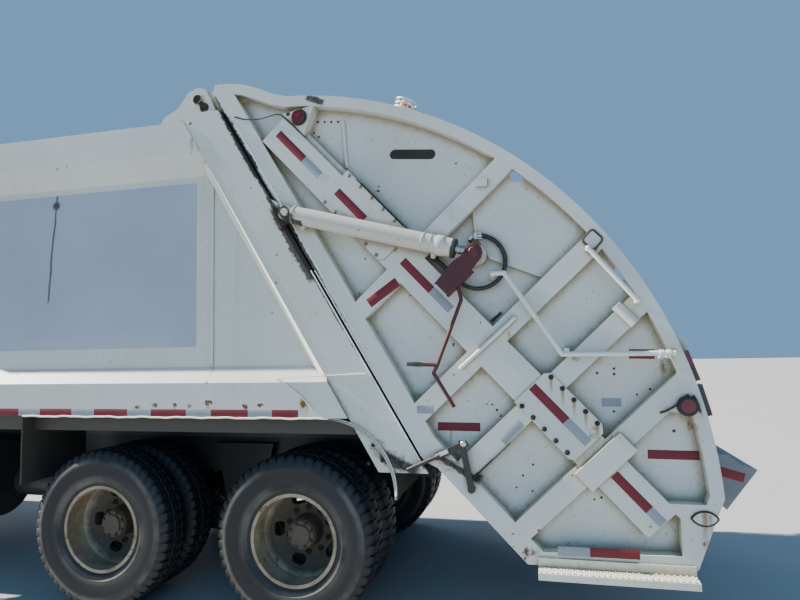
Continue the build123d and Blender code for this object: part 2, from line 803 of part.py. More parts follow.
def steering_wheel():
    """Wheel and its column, leaning back to the driver."""
    at = Plane(origin=WHEEL_AT, z_dir=WHEEL_LEAN)
    y = WHEEL_AT[1]
    wheel = at * (Torus(WHEEL_R, 17) + Cylinder(60, 30) + Box(30, 2 * WHEEL_R - 10, 14))
    column = bar_between(32, WHEEL_AT, (CAB_FACE - 384, y, CAB_FLOOR + 55))
    foot = block(CAB_FACE - 420, CAB_FACE - 340, y - 45, y + 45, CAB_FLOOR, CAB_FLOOR + 80)
    return wheel + column + foot


def grille():
    """Slatted grille in the cab's nose."""
    x = CAB_FACE - GRILLE_RIM
    half = GRILLE_HALF
    low, high = GRILLE_Z
    frame = block(x, x + 24, FIT - half, half - FIT, low + FIT, high - FIT)
    half -= GRILLE_RIM
    frame -= block(x - 5, x + 40, -half, half, low + GRILLE_RIM, high - GRILLE_RIM)
    for row in range(GRILLE_SLATS):
        z = low + 50 + row * SLAT_PITCH
        frame += block(x + 4, x + 20, -half - 10, half + 10, z, z + SLAT_T)
    return frame


def mirrors():
    """Side mirrors on their arms from the front pillars."""
    x = CAB_FACE - 164
    mirror_set = block(x - 1, x + 54, *MIRROR_Y, *MIRROR_Z)
    for z in (MIRROR_Z[0] + 20, MIRROR_Z[1] - 40):
        mirror_set += bar_between(14, (x, CAB_Y + 8, z), (x + 24, MIRROR_Y[0] + 70, z))
        mirror_set += block(x - 20, x + 20, CAB_Y, CAB_Y + 12, z - 30, z + 30)
    return both_sides(mirror_set)


def cab_lamps():
    """Row of marker lamps along the roof's front edge."""
    lamps = None
    for y in MARKER_Y:
        lamp = block(CAB_FACE - 400, CAB_FACE - 330, y - 60, y + 60, CAB_ROOF, CAB_ROOF + 32)
        lamps = lamp if lamps is None else lamps + lamp
    return lamps


def front_lamps():
    """Twin round head lamps and a turn lamp in each bumper pocket."""
    x = CAB_FACE
    (left, right), (low, high) = POCKET_Y, POCKET_Z
    base = block(x, x + 12, left + 4, right - 4, low + 4, high - 4)
    for y in HEAD_LAMPS_Y:
        base += Pos(x + 24, y, (low + high) / 2) * Rot(0, 90, 0) * Cylinder(HEAD_LAMP_R, 30)
    return both_sides(base)


# Load body

def body_section(outer):
    """Half outline across the load body, mirrored to a full one."""
    if outer:
        half = [
            (ROOF_FLAT_Y, ROOF_Z),
            (RAIL_Y, EAVE_Z),
            (RAIL_Y, EAVE_LOW),
            (WALL_Y, UNDER_LOW),
            (WALL_Y, LEDGE_TOP),
            (SKIRT_Y, LEDGE_LOW),
            (SKIRT_Y, SKIRT_LOW),
            (SKIRT_Y - SKIRT_T, SKIRT_LOW),
            (SKIRT_Y - SKIRT_T, LEDGE_LOW - 10),
            (WALL_Y, LEDGE_TOP - 40),
            (WALL_Y, BODY_LOW),
        ]
    else:
        half = [
            (ROOF_FLAT_Y - 10, ROOF_Z - WALL_T),
            (WALL_Y - WALL_T, EAVE_Z - WALL_T),
            (WALL_Y - WALL_T, BODY_LOW + WALL_T),
        ]
    return half + [(-y, z) for y, z in reversed(half)]


def slant(offset, x_far):
    """Side outline of all that lies ahead of the joint plane, moved forward by offset."""
    shift = offset / math.sin(math.radians(JOINT_TILT))
    return [
        (joint_x(0) + shift, 0),
        (x_far, 0),
        (x_far, 5000),
        (joint_x(5000) + shift, 5000),
    ]


def body_shell():
    """Load body: one hollow section along the truck, cut to the slanted joint."""
    outer = cross_prism(body_section(True), -1500, BODY_FRONT)
    inner = cross_prism(body_section(False), -1600, BODY_FRONT + 100)
    shell = outer - inner
    ahead = side_prism(slant(POST_W, BODY_FRONT + 200), -1400, 1400)
    sills = both_sides(block(-560, BODY_FRONT, 352, 428, RAIL_TOP, BODY_LOW))
    seam = block(*SEAM_X, WALL_Y - 10, WALL_Y + SEAM_T, LEDGE_TOP + 10, UNDER_LOW)
    return ((shell + sills) & ahead) + both_sides(seam)


def roof_pipes():
    """Two hydraulic pipes along each roof edge, in clamps, with a bend block at their rear end."""
    front = BODY_FRONT - 60
    inner, outer = PIPE_CLAMP_Y
    slope = (ROOF_Z - EAVE_Z) / (RAIL_Y - ROOF_FLAT_Y)
    group = None
    for y in PIPE_Y:
        height = EAVE_Z + (RAIL_Y - y) * slope + 34
        pipe = bar_between(PIPE_R, (PIPE_BACK, y, height), (front, y, height))
        group = pipe if group is None else group + pipe
    low = EAVE_Z + (RAIL_Y - outer) * slope
    rise = (outer - inner) * slope
    corners = [(inner, low + rise + FIT), (outer, low + FIT), (outer, low + 58), (inner, low + 66)]
    places = [PIPE_BACK + 20 + step * PIPE_CLAMP_PITCH for step in range(4)] + [front - 60]
    for x in places:
        group += cross_prism(corners, x, x + PIPE_CLAMP_W)
    group += block(PIPE_BACK - 60, PIPE_BACK + 10, inner + 5, outer - 5, low + 24, low + 78)
    return both_sides(group)


def body_front_wall():
    """Front wall of the load body, inside the section."""
    gap = FIT
    wall = cross_prism(
        [
            (ROOF_FLAT_Y - 10 - gap, ROOF_Z - WALL_T - gap),
            (WALL_Y - WALL_T - gap, EAVE_Z - WALL_T - gap),
            (WALL_Y - WALL_T - gap, BODY_LOW + WALL_T + gap),
            (-WALL_Y + WALL_T + gap, BODY_LOW + WALL_T + gap),
            (-WALL_Y + WALL_T + gap, EAVE_Z - WALL_T - gap),
            (-ROOF_FLAT_Y + 10 + gap, ROOF_Z - WALL_T - gap),
        ],
        BODY_FRONT - WALL_T,
        BODY_FRONT,
    )
    return wall


def body_rear_frame():
    """Slanted rear hoop of the load body, with hinge ears and cylinder brackets."""
    outer = cross_prism(
        [
            (POST_Y, ROOF_Z - 8),
            (POST_Y, FOOT_Z),
            (WALL_Y - WALL_T, FOOT_Z),
            (WALL_Y - WALL_T, RAIL_TOP),
            (-WALL_Y + WALL_T, RAIL_TOP),
            (-WALL_Y + WALL_T, FOOT_Z),
            (-POST_Y, FOOT_Z),
            (-POST_Y, ROOF_Z - 8),
        ],
        -1500,
        1500,
    )
    inner = cross_prism(body_section(False), -1600, 1600)
    hoop = outer - inner
    hoop = hoop & side_prism(slant(0, 3000), -1300, 1300)
    hoop = hoop - side_prism(slant(POST_W, 3000), -1400, 1400)
    ear = [(990, ROOF_Z - 60)] + [(x, ROOF_Z + rise) for x, rise in EAR_TOP] + [(550, ROOF_Z - 60)]
    ears = side_prism(ear, *EAR_OUT) + side_prism(ear, *EAR_IN)
    roof_cut = cross_prism(body_section(True), 400, 1100)
    ears = ears - roof_cut
    pin = bar_y(HINGE_PIN_R, HINGE_X, HINGE_Z, EAR_IN[0] - 20, EAR_OUT[1] + 20)
    bracket = side_prism(
        [
            (LIFT_BASE[0], LIFT_BASE[1] - 38),
            (LIFT_BASE[0] + 70, LIFT_BASE[1] - 96),
            (LIFT_BASE[0] + 196, LIFT_BASE[1] + 112),
            (LIFT_BASE[0] + 160, LIFT_BASE[1] + 130),
            (LIFT_BASE[0], LIFT_BASE[1] + 38),
        ],
        POST_Y,
        LIFT_Y - 36,
    )
    bracket += bar_y(38, LIFT_BASE[0], LIFT_BASE[1], POST_Y, LIFT_Y - 36)
    base_pin = bar_y(24, LIFT_BASE[0], LIFT_BASE[1], POST_Y, LIFT_Y + 50)
    return hoop + both_sides(ears + pin + bracket + base_pin)


def rear_fenders():
    """Fenders over the tandem wheels: flat above, rounded down at the back, with a short front leaf."""
    def arch(inset):
        width = FENDER_FRONT - FENDER_BACK - 2 * inset
        height = SKIRT_LOW - FENDER_LOW - inset
        sheet = Pos((FENDER_FRONT + FENDER_BACK) / 2, FENDER_LOW + height / 2) * Rectangle(width, height)
        back_top = sheet.vertices().sort_by(Axis.Y)[-2:].sort_by(Axis.X)[:1]
        return fillet(back_top, FENDER_BEND - inset)

    face = arch(0) - arch(FENDER_T)
    strip = extrude(Pos(0, FENDER_IN, 0) * (Plane.XZ * face), SKIRT_Y - FENDER_IN, dir=(0, 1, 0))
    outer = strip & block(-1000, 3000, WALL_Y, SKIRT_Y, 0, 2000)
    inner = strip & block(-1000, 3000, FENDER_IN, SKIRT_Y, 0, BODY_LOW - 5)
    slab = side_prism(slant(-JOINT_GAP, 3000), -POST_Y - FIT, POST_Y + FIT)
    slab -= side_prism(slant(POST_W + FIT, 3000), -1400, 1400)
    slab &= block(-1500, 1500, -1400, 1400, FOOT_Z - FIT, 2000)
    return both_sides(outer + inner - slab)


# Tailgate

def tailgate_outline():
    """Side outline of the tailgate as wires: front edge, hinge hump, big arc and hopper foot."""
    start = (ARC_START_X, ARC_Z + math.sqrt(ARC_R ** 2 - (ARC_START_X - ARC_X) ** 2))
    end = (ARC_X - math.sqrt(ARC_R ** 2 - (ARC_END_Z - ARC_Z) ** 2), ARC_END_Z)
    mid_angle = math.radians(136)
    middle = (ARC_X + ARC_R * math.cos(mid_angle), ARC_Z + ARC_R * math.sin(mid_angle))
    edge = [(joint_x(z) - JOINT_GAP, z) for z in FRONT_EDGE_Z]
    front = [end, *FOOT_BACK, *FOOT_LINE, *edge, *HUMP, start]
    lines = [Line(a, b) for a, b in zip(front, front[1:])]
    return make_face(lines + [ThreePointArc(start, middle, end)])


def lift_on(face, y_low, y_high):
    """Plate from a flat side face, from y_low to y_high."""
    return extrude(Pos(0, y_low, 0) * (Plane.XZ * face), y_high - y_low, dir=(0, 1, 0))


def track_plate(corners, y_low, y_high):
    """Plate from (along, off) corners on the track."""
    return side_prism([track_point(along, off) for along, off in corners], y_low, y_high)


def side_window():
    """Side outline of all that lies inside the tailgate's rim and its wider front and foot bands."""
    inner = offset(tailgate_outline(), amount=-RIM_W, kind=Kind.INTERSECTION)
    tilt = math.radians(JOINT_TILT)
    front = -(JOINT_GAP + FRONT_BAND) / math.sin(tilt)
    corners = [(joint_x(z) + front, z) for z in (0, 4000)] + [(-4000, 4000), (-4000, 0)]
    behind = make_face(Polyline(*corners, close=True))
    (low_x, low_z), (high_x, high_z) = FOOT_LINE
    foot_slope = (high_z - low_z) / (high_x - low_x)
    lift = FOOT_BAND * math.hypot(1, foot_slope)

    def foot(x):
        return (x, low_z + lift + (x - low_x) * foot_slope)

    above = make_face(Polyline(foot(-4000), foot(1000), (1000, 5000), (-4000, 5000), close=True))
    return inner & behind & above


SHIELD_HOLES = (
    # (x, z) corners of the holes between the braces
    ((-1420, 2791), (-1498, 2748), (-1498, 2722), (-1461, 2681), (-1409, 2683), (-1386, 2727)),
    ((-2008, 2172), (-2054, 2106), (-2034, 2078), (-2003, 2061), (-1973, 2078), (-1957, 2109), (-1976, 2150)),
)
SLOT_ENDS = ((-674, 2930), (-906, 2908))
SLOT_R = 33


def sight_holes():
    """Shield-shaped holes and the long slot through the tailgate's side plate."""
    y = (PLATE_Y - 5, PLATE_Y + 60)
    holes = side_prism(SHIELD_HOLES[0], *y) + side_prism(SHIELD_HOLES[1], *y)
    (front_x, front_z), (rear_x, rear_z) = SLOT_ENDS
    holes += side_prism(
        [
            (front_x, front_z + SLOT_R),
            (front_x, front_z - SLOT_R),
            (rear_x, rear_z - SLOT_R),
            (rear_x, rear_z + SLOT_R),
        ],
        *y,
    )
    for x, z in SLOT_ENDS:
        holes += bar_y(SLOT_R, x, z, *y)
    return holes


TRACK_COVERS = (
    # (along, off) corners of the plates bolted over the track
    ((605, -105), (605, 153), (1150, 153), (1180, 120), (1185, -78), (1150, -105)),
    ((2333, -112), (2333, 121), (2358, 153), (2745, 153), (2783, 122), (2788, -90), (2762, -114)),
)


TRACK_BOX = (2838, 2966, -146, 188)
LAMPS_AT = ((-65, 3203), (-2291, 1359))
LAMP_PLATES = (
    ((48, 3238), (-168, 3273), (-98, 3085)),
    ((-2186, 1334), (-2362, 1296), (-2304, 1424)),
)
DIAMOND_AT = (-1844, 2290)
DIAMOND = (58, 63)
LENS_AT = (-2345, 770)
LENS_R = 78
LENS_HALF = 42
STUB_TUBE = (2335, 2477, 674)
STUB_R = 30
RIB_ENDS = ((-332, 3182), (-355, 2868))
PIN_BOX = (1288, 662)


def side_covers():
    """Bolted plates on the track, lamp plates, diamond covers, stub tube and rib of the tailgate's side."""
    y = (RIM_Y, RIM_Y + COVER_T)
    covers = None
    for corners in TRACK_COVERS:
        plate = track_plate(corners, PLATE_Y + PLATE_T, RIM_Y + COVER_T)
        covers = plate if covers is None else covers + plate
    covers += track_bar(*TRACK_BOX, PLATE_Y + PLATE_T, RIM_Y + 26)
    for corners in LAMP_PLATES:
        covers += side_prism(corners, PLATE_Y + PLATE_T, RIM_Y + COVER_T)
    x, z = DIAMOND_AT
    wide, tall = DIAMOND
    covers += side_prism([(x, z + tall), (x + wide, z), (x, z - tall), (x - wide, z)], *y)
    x, z = LENS_AT
    covers += bar_y(LENS_R, x, z + LENS_HALF, *y) & bar_y(LENS_R, x, z - LENS_HALF, *y)
    start, end, off = STUB_TUBE
    stub = [track_point(start, off), track_point(end, off)]
    covers += bar_between(STUB_R, *[(x, RIM_Y + 4, z) for x, z in stub])
    covers += bar_between(15, *[(x, PLATE_Y + PLATE_T, z) for x, z in RIB_ENDS])
    x, z = track_point(*PIN_BOX)
    covers += block(x - 34, x + 34, RIM_Y, RIM_Y + 20, z - 24, z + 24)
    return covers


RAISED_T = 28
CORNER_PLATE = ((-2150, 840), (-2470, 840), (-2330, 440), (-2227, 440), (-2227, 763))


def tailgate_side():
    """Left side of the tailgate: recessed plate in its rim, track channel, cross braces and covers."""
    outline = tailgate_outline()
    window = side_window()
    deck = PLATE_Y + PLATE_T
    side = lift_on(outline, PLATE_Y, deck) + lift_on(outline - window, deck, RIM_Y)
    inside = lift_on(outline, PLATE_Y, RIM_Y + 40)
    for along in BRACE_AT:
        brace = track_bar(along - BRACE_W / 2, along + BRACE_W / 2, -1400, 1400, deck, RIM_Y)
        side += brace & inside
    half = TRACK_W / 2
    side += track_bar(20, TRACK_LEN, -half, half, deck, RIM_Y) & inside
    side += track_bar(20, 605, half, half + 36, deck, RIM_Y - 34) & inside
    first = BRACE_AT[0] + BRACE_W / 2
    second = BRACE_AT[1] - BRACE_W / 2
    side += track_plate(
        ((first, 505), (first + 106, 421), (1636, 376), (second, 512), (second, 1300), (first, 1300)),
        deck, deck + RAISED_T
    ) & inside
    side += side_prism(CORNER_PLATE, deck, RIM_Y) & inside
    side += side_covers() & inside
    hollow = track_bar(
        150, TRACK_LEN - 170, -half + TRACK_WALL, half - TRACK_WALL, deck, RIM_Y - TRACK_WALL
    )
    slot = track_bar(
        190, TRACK_LEN - 260, -SHOE_W / 2 - FIT, SHOE_W / 2 + FIT, PLATE_Y - 5, deck + 5
    )
    window_cut = track_plate(((2792, -120), (2792, 150), (2834, 150), (2834, -120)), RIM_Y - 10, RIM_Y + 60)
    side = side - hollow - slot - window_cut - sight_holes()
    lug = Pos(HINGE_X, sum(LUG_Y) / 2, HINGE_Z) * Rot(90, 0, 0) * Cylinder(HINGE_LUG_R, LUG_Y[1] - LUG_Y[0])
    neck = side_prism(
        [
            (HINGE_X, HINGE_Z + HINGE_LUG_R),
            (430, 3488),
            (330, 3400),
            (HINGE_X - 165, HINGE_Z - HINGE_LUG_R),
            (HINGE_X, HINGE_Z - HINGE_LUG_R),
        ],
        *LUG_Y,
    )
    bore = bar_y(HINGE_PIN_R + FIT, HINGE_X, HINGE_Z, LUG_Y[0] - 5, LUG_Y[1] + 5)
    eye = bar_y(60, LIFT_EYE[0], LIFT_EYE[1], deck, RIM_Y)
    return side + lug + neck - bore + eye


def hopper_shell():
    """Curved hopper floor swept by the blade, the ramp to the load body and the loading sill."""
    reach = BLADE_LEN + FLOOR_GAP
    tilt = math.radians(TRACK_TILT)
    sin_t, cos_t = math.sin(tilt), math.cos(tilt)

    def at(radius, angle):
        turn = math.radians(angle)
        return (LOW_HINGE_X + radius * math.cos(turn), LOW_HINGE_Z + radius * math.sin(turn))

    def ramp(radius):
        x, z = at(radius, TRACK_TILT - 90)
        run = (joint_x(1190) - JOINT_GAP - x) / cos_t - 30
        return (x + run * cos_t, z + run * sin_t)

    end_angle = 184
    outer = reach + FLOOR_T
    face = make_face(
        [
            Line(ramp(reach), at(reach, TRACK_TILT - 90)),
            ThreePointArc(at(reach, TRACK_TILT - 90), at(reach, 250), at(reach, end_angle)),
            Line(at(reach, end_angle), at(outer, end_angle)),
            ThreePointArc(at(outer, end_angle), at(outer, 250), at(outer, TRACK_TILT - 90)),
            Line(at(outer, TRACK_TILT - 90), ramp(outer)),
            Line(ramp(outer), ramp(reach)),
        ]
    )
    floor = lift_on(face, -PLATE_Y + FIT, PLATE_Y - FIT)
    sill = side_prism(
        [
            (-2370, 1098),
            (-2483, 1098),
            (-2539, 1051),
            (REAR_REACH, 1022),
            (-2463, 810),
            (-2370, 900),
        ],
        -1150,
        1150,
    )
    keep = both_sides(lift_on(tailgate_outline(), PLATE_Y - FIT, RIM_Y + 5))
    return floor + (sill - keep)


def tailgate_cover():
    """Roof sheet over the tailgate's upper front and the tubes that tie its sides."""
    half = PLATE_Y - FIT
    outline = tailgate_outline()
    strip = outline - offset(outline, amount=-24, kind=Kind.INTERSECTION)
    sheet = lift_on(strip, -half, half) & block(-1150, 520, -half, half, 2900, 3600)
    sheet -= both_sides(block(300, 700, LUG_Y[0] - 2, PLATE_Y + 5, 3300, 3600))
    tubes = (
        bar_y(45, -1800, 2430, -half, half)
        + bar_y(45, -2290, 1690, -half, half)
        + bar_y(TOP_TUBE_R, *TOP_TUBE, -half, half)
    )
    return sheet + tubes


def slide_barrels():
    """Slide cylinder barrels along the track, hung by ears from the upper cross tube."""
    barrels = None
    for side in (1, -1):
        y = side * SLIDE_CYL_Y
        start = track_point(40, SLIDE_CYL_OFF)
        bore_top = track_point(120, SLIDE_CYL_OFF)
        end = track_point(1130, SLIDE_CYL_OFF)
        past = track_point(1200, SLIDE_CYL_OFF)
        barrel = bar_between(60, (start[0], y, start[1]), (end[0], y, end[1]))
        barrel += track_bar(-20, 90, 60, SLIDE_CYL_OFF, y - 30, y + 30)
        barrel -= bar_y(TOP_TUBE_R + FIT, *TOP_TUBE, y - 40, y + 40)
        barrel -= bar_between(30 + FIT, (bore_top[0], y, bore_top[1]), (past[0], y, past[1]))
        barrels = barrel if barrels is None else barrels + barrel
    return barrels


def riding_steps():
    """Perforated steps under both rear corners, on low flanges along the tailgate's foot."""
    out = RIM_Y + STEP_REACH
    plate = block(*STEP_X, RIM_Y - 40, out, STEP_TOP - 14, STEP_TOP)
    lip = block(*STEP_X, out - 12, out, STEP_TOP - 36, STEP_TOP)
    flange = block(*STEP_X, RIM_Y, RIM_Y + 12, STEP_TOP - 14, STEP_TOP + 50)
    return both_sides(plate + lip + flange)


def rail_run(points, radius):
    """Bent tube through points, with a ball at each corner."""
    tube = None
    for start, end in zip(points, points[1:]):
        length = bar_between(radius, start, end)
        tube = length if tube is None else tube + length
    for corner in points[1:-1]:
        tube += Pos(*corner) * Sphere(radius)
    return tube


def grab_rails():
    """White hand rails that stand off the tailgate's sides."""
    deck = PLATE_Y + PLATE_T
    out = RIM_Y + RAIL_STAND
    first, *middle, last = [(x, out, z) for x, z in LONG_RAIL]
    rails = rail_run([(first[0], deck, first[2]), first, *middle, last, (last[0], RIM_Y, last[2])], RAIL_R)
    rails += bar_y(26, first[0], first[2], deck, deck + 22)
    rails += block(*RAIL_CLAMP_X, deck, out, *RAIL_CLAMP_Z)
    for run, reach, radius in ((SHORT_RAIL, out, RAIL_R), (LOW_RAIL, RIM_Y + 18, LOW_RAIL_R)):
        (x_top, z_top), (x_low, z_low) = run
        bends = [(x_top, reach, z_top), (x_low, reach, z_low)]
        rails += rail_run([(x_top, RIM_Y, z_top), *bends, (x_low, RIM_Y, z_low)], radius)
    return both_sides(rails)


def tail_lamps():
    """Round lamps on the triangular plates, each a flange and a raised lens, and box lamps on the rear arc."""
    face = RIM_Y + COVER_T
    group = None
    for x, z in LAMPS_AT:
        lamp = bar_y(LAMP_FLANGE_R, x, z, face, face + 10) + bar_y(LAMP_LENS_R, x, z, face, RIM_Y + 32)
        group = lamp if group is None else group + lamp
    for angle in REAR_LAMP_ANGLES:
        turn = math.radians(angle)
        out = (math.cos(turn), 0, math.sin(turn))
        seat = (ARC_X + ARC_R * out[0], (PLATE_Y + RIM_Y) / 2, ARC_Z + ARC_R * out[2])
        at = Plane(origin=seat, x_dir=(-out[2], 0, out[0]), z_dir=out)
        group += at * Pos(0, 0, REAR_LAMP[2] / 2 + FIT) * Box(*REAR_LAMP)
    return both_sides(group)


def beacons():
    """Strobe lamps in round guards, square to the tailgate's arc above each rim."""
    turn = math.radians(BEACON_ANGLE)
    out = (math.cos(turn), 0, math.sin(turn))
    seat = ARC_R + FIT
    at = Plane(origin=(ARC_X + seat * out[0], BEACON_Y, ARC_Z + seat * out[2]), z_dir=out)
    lamp = Pos(0, 0, 7) * Cylinder(BEACON_R, 14) + Pos(0, 0, 30) * Cylinder(34, 60)
    for z in (34, 62):
        lamp += Pos(0, 0, z) * Cylinder(BEACON_R, 7) - Pos(0, 0, z) * Cylinder(BEACON_R - 7, 8)
    for step in range(6):
        angle = math.radians(step * 60)
        reach = BEACON_R - 3.6
        lamp += Pos(reach * math.cos(angle), reach * math.sin(angle), 36) * Cylinder(2.6, 52)
    return both_sides(at * lamp)


def tail_hoses():
    """Hydraulic hose held on the tailgate's side: along the track, around one large bend, to an elbow."""
    y = HOSE_Y
    deck = PLATE_Y + PLATE_T
    start = (HOSE_START[0] - HOSE_ARC[0], HOSE_START[1] - HOSE_ARC[1])
    reach = math.hypot(*start)
    touch = math.degrees(math.atan2(start[1], start[0]) - math.acos(HOSE_ARC_R / reach))

    def on_arc(angle):
        turn = math.radians(angle)
        return (HOSE_ARC[0] + HOSE_ARC_R * math.cos(turn), HOSE_ARC[1] + HOSE_ARC_R * math.sin(turn))

    bend = ThreePointArc(on_arc(touch), on_arc(touch - 112), on_arc(-270))
    line = Line(HOSE_START, on_arc(touch))
    path = Pos(0, y, 0) * (Plane.XZ * Wire([*line.edges(), *bend.edges()]))
    begin = (HOSE_START[0], y, HOSE_START[1])
    along = Vector(on_arc(touch)[0] - HOSE_START[0], 0, on_arc(touch)[1] - HOSE_START[1])
    hose = sweep(Plane(origin=begin, z_dir=along) * Circle(HOSE_R), path=path)
    top = on_arc(-270)
    hose += bar_between(18, (top[0] - 30, y, top[1]), (top[0] + 26, y, top[1]))
    hose += bar_between(12, (top[0] + 20, y, top[1]), (top[0] + 44, y, top[1] - 30))
    hose += bar_between(12, (top[0] + 44, y, top[1] - 26), (top[0] + 44, deck, top[1] - 26))
    hose += Pos(top[0] + 44, y, top[1] - 28) * Sphere(13)
    fitting = along.normalized() * 34
    hose += bar_between(19, begin, (begin[0] + fitting.X, y, begin[2] + fitting.Z))
    hose += bar_between(17, (begin[0], deck, begin[2]), (begin[0], y + 10, begin[2]))
    return both_sides(hose)


def latches():
    """Tailgate latches: hook arm, link, rod and guard box at the foot of the front edge."""
    face = RIM_Y + LATCH_T
    arm = side_prism(LATCH_ARM, RIM_Y, face)
    link = side_prism(LATCH_LINK, face, face + 18)
    rod = bar_between(12, *[(x, face + 10, z) for x, z in LATCH_ROD])
    knob = bar_y(22, *LATCH_KNOB, face - 10, face + 20)
    return both_sides(arm + link + rod + knob)


# Packer

def slide_carriage():
    """Slide panel on its guide shoes, with the slide rods and the sweep cylinder barrels."""
    low = track_at(LOW_HINGE_X) - SLIDE_TRAVEL
    half = PANEL_T / 2
    panel = track_bar(low - PANEL_LEN, low - 75, -half, half, -PANEL_Y, PANEL_Y)
    shoes = None
    for start in (low - PANEL_LEN + 20, low - SHOE_LEN - 80):
        neck = track_bar(start, start + SHOE_LEN, -SHOE_W / 2, SHOE_W / 2, PANEL_Y, RIM_Y - 60)
        pad_half = TRACK_W / 2 - TRACK_WALL - FIT
        pad = track_bar(start, start + SHOE_LEN, -pad_half, pad_half, PLATE_Y + PLATE_T + 3, RIM_Y - 30)
        shoe = neck + pad
        shoes = shoe if shoes is None else shoes + shoe
    body = panel + both_sides(shoes)
    for side in (1, -1):
        y = side * SLIDE_CYL_Y
        start = track_point(180, SLIDE_CYL_OFF)
        end = track_point(1400, SLIDE_CYL_OFF)
        rod = bar_between(30, (start[0], y, start[1]), (end[0], y, end[1]))
        ear = track_bar(1350, 1450, half - 5, SLIDE_CYL_OFF + 45, y - 45, y + 45)
        body += rod + ear
    hinge = track_point(low, 0)
    for y_low in PANEL_TUBES_Y:
        tube = bar_y(SWEEP_TUBE_R, *hinge, y_low, y_low + PANEL_TUBE_LEN)
        web = track_bar(low - 80, low, -half, half, y_low, y_low + PANEL_TUBE_LEN)
        body += tube + web
    body -= bar_y(SWEEP_PIN_R + FIT, *hinge, -1100, 1100)
    base = track_point(low - SWEEP_BASE[0], SWEEP_BASE[1])
    eye = sweep_lug(low)
    for side in (1, -1):
        y = side * SWEEP_CYL_Y
        run = Vector(eye[0] - base[0], 0, eye[1] - base[1]).normalized()
        top = Vector(base[0], y, base[1])
        end = top + run * 840
        barrel = bar_between(45, tuple(top), tuple(end))
        bore = bar_between(23, tuple(top + run * 60), tuple(top + run * 900))
        foot = track_bar(low - SWEEP_BASE[0] - 60, low - SWEEP_BASE[0] + 60, half - 5, SWEEP_BASE[1] + 40,
                         y - 40, y + 40)
        body += barrel + foot
        body -= bore
    return body


def track_at(x):
    """Distance down the track at a given x."""
    return (TRACK_X0 - x) / math.cos(math.radians(TRACK_TILT))


def sweep_lug(low):
    """(x, z) of the sweep blade's cylinder pin with the blade folded in."""
    hinge = track_point(low, 0)
    turn = math.radians(LUG_ANGLE)
    return (hinge[0] + LUG_ARM * math.cos(turn), hinge[1] + LUG_ARM * math.sin(turn))


def sweep_blade():
    """Sweep blade across the hopper, hung on the slide panel's lower edge."""
    low = track_at(LOW_HINGE_X) - SLIDE_TRAVEL
    hinge = track_point(low, 0)
    blade = track_bar(low - 50, low + 50, -BLADE_LEN, -72, -PANEL_Y, PANEL_Y)
    tip = track_bar(low + 50, low + 90, -BLADE_LEN + 20, -BLADE_LEN + 140, -PANEL_Y, PANEL_Y)
    body = blade + tip
    starts = [-PANEL_Y] + [y + PANEL_TUBE_LEN + 5 for y in PANEL_TUBES_Y]
    ends = [y - 5 for y in PANEL_TUBES_Y] + [PANEL_Y]
    for y_low, y_high in zip(starts, ends):
        body += bar_y(SWEEP_TUBE_R, *hinge, y_low, y_high)
        body += track_bar(low - 50, low + 50, -80, 0, y_low, y_high)
    body += bar_y(SWEEP_PIN_R, *hinge, -PANEL_Y, PANEL_Y)
    eye = sweep_lug(low)
    near = track_point(low + 40, -260)
    far = track_point(low + 40, -40)
    nose = [(eye[0] + 10, eye[1] - 48), (eye[0] - 45, eye[1]), (eye[0] + 5, eye[1] + 48)]
    lug = side_prism([near, *nose, far], SWEEP_CYL_Y - 60, SWEEP_CYL_Y - 30)
    return body + both_sides(lug)


def sweep_rods():
    """Sweep cylinder rods with their eyes."""
    low = track_at(LOW_HINGE_X) - SLIDE_TRAVEL
    base = track_point(low - SWEEP_BASE[0], SWEEP_BASE[1])
    eye = sweep_lug(low)
    rods = None
    for side in (1, -1):
        y = side * SWEEP_CYL_Y
        run = Vector(eye[0] - base[0], 0, eye[1] - base[1]).normalized()
        top = Vector(base[0], y, base[1])
        rod = bar_between(22.5, tuple(top + run * 480), (eye[0], y, eye[1]))
        rod += bar_y(44, eye[0], eye[1], y - 20, y + 20)
        rods = rod if rods is None else rods + rod
    return rods


# Lift cylinders

def lift_line(side):
    """Base pin, unit direction and eye of one lift cylinder."""
    base = Vector(LIFT_BASE[0], side * LIFT_Y, LIFT_BASE[1])
    eye = Vector(LIFT_EYE[0], side * LIFT_Y, LIFT_EYE[1])
    return base, (eye - base).normalized(), eye


def lift_barrels():
    """Barrels of both lift cylinders with their base eyes."""
    group = None
    for side in (1, -1):
        base, run, eye = lift_line(side)
        tube = bar_between(LIFT_TUBE_R, tuple(base + run * 44), tuple(base + run * LIFT_TUBE_END))
        head = bar_y(46, base.X, base.Z, base.Y - 30, base.Y + 30)
        barrel = tube + head
        barrel -= bar_between(LIFT_ROD_R + FIT, tuple(base + run * 70), tuple(base + run * 1200))
        barrel -= bar_y(24 + FIT, base.X, base.Z, base.Y - 60, base.Y + 60)
        group = barrel if group is None else group + barrel
    return group


def lift_rods():
    """Rods of both lift cylinders with their eyes and pins."""
    group = None
    for side in (1, -1):
        base, run, eye = lift_line(side)
        rod = bar_between(LIFT_ROD_R, tuple(base + run * 90), tuple(eye))
        rod += bar_y(44, eye.X, eye.Z, eye.Y - 28, eye.Y + 28)
        inner = side * (RIM_Y + 6)
        outer = eye.Y + side * 48
        rod += bar_y(22, eye.X, eye.Z, min(inner, outer), max(inner, outer))
        group = rod if group is None else group + rod
    return group


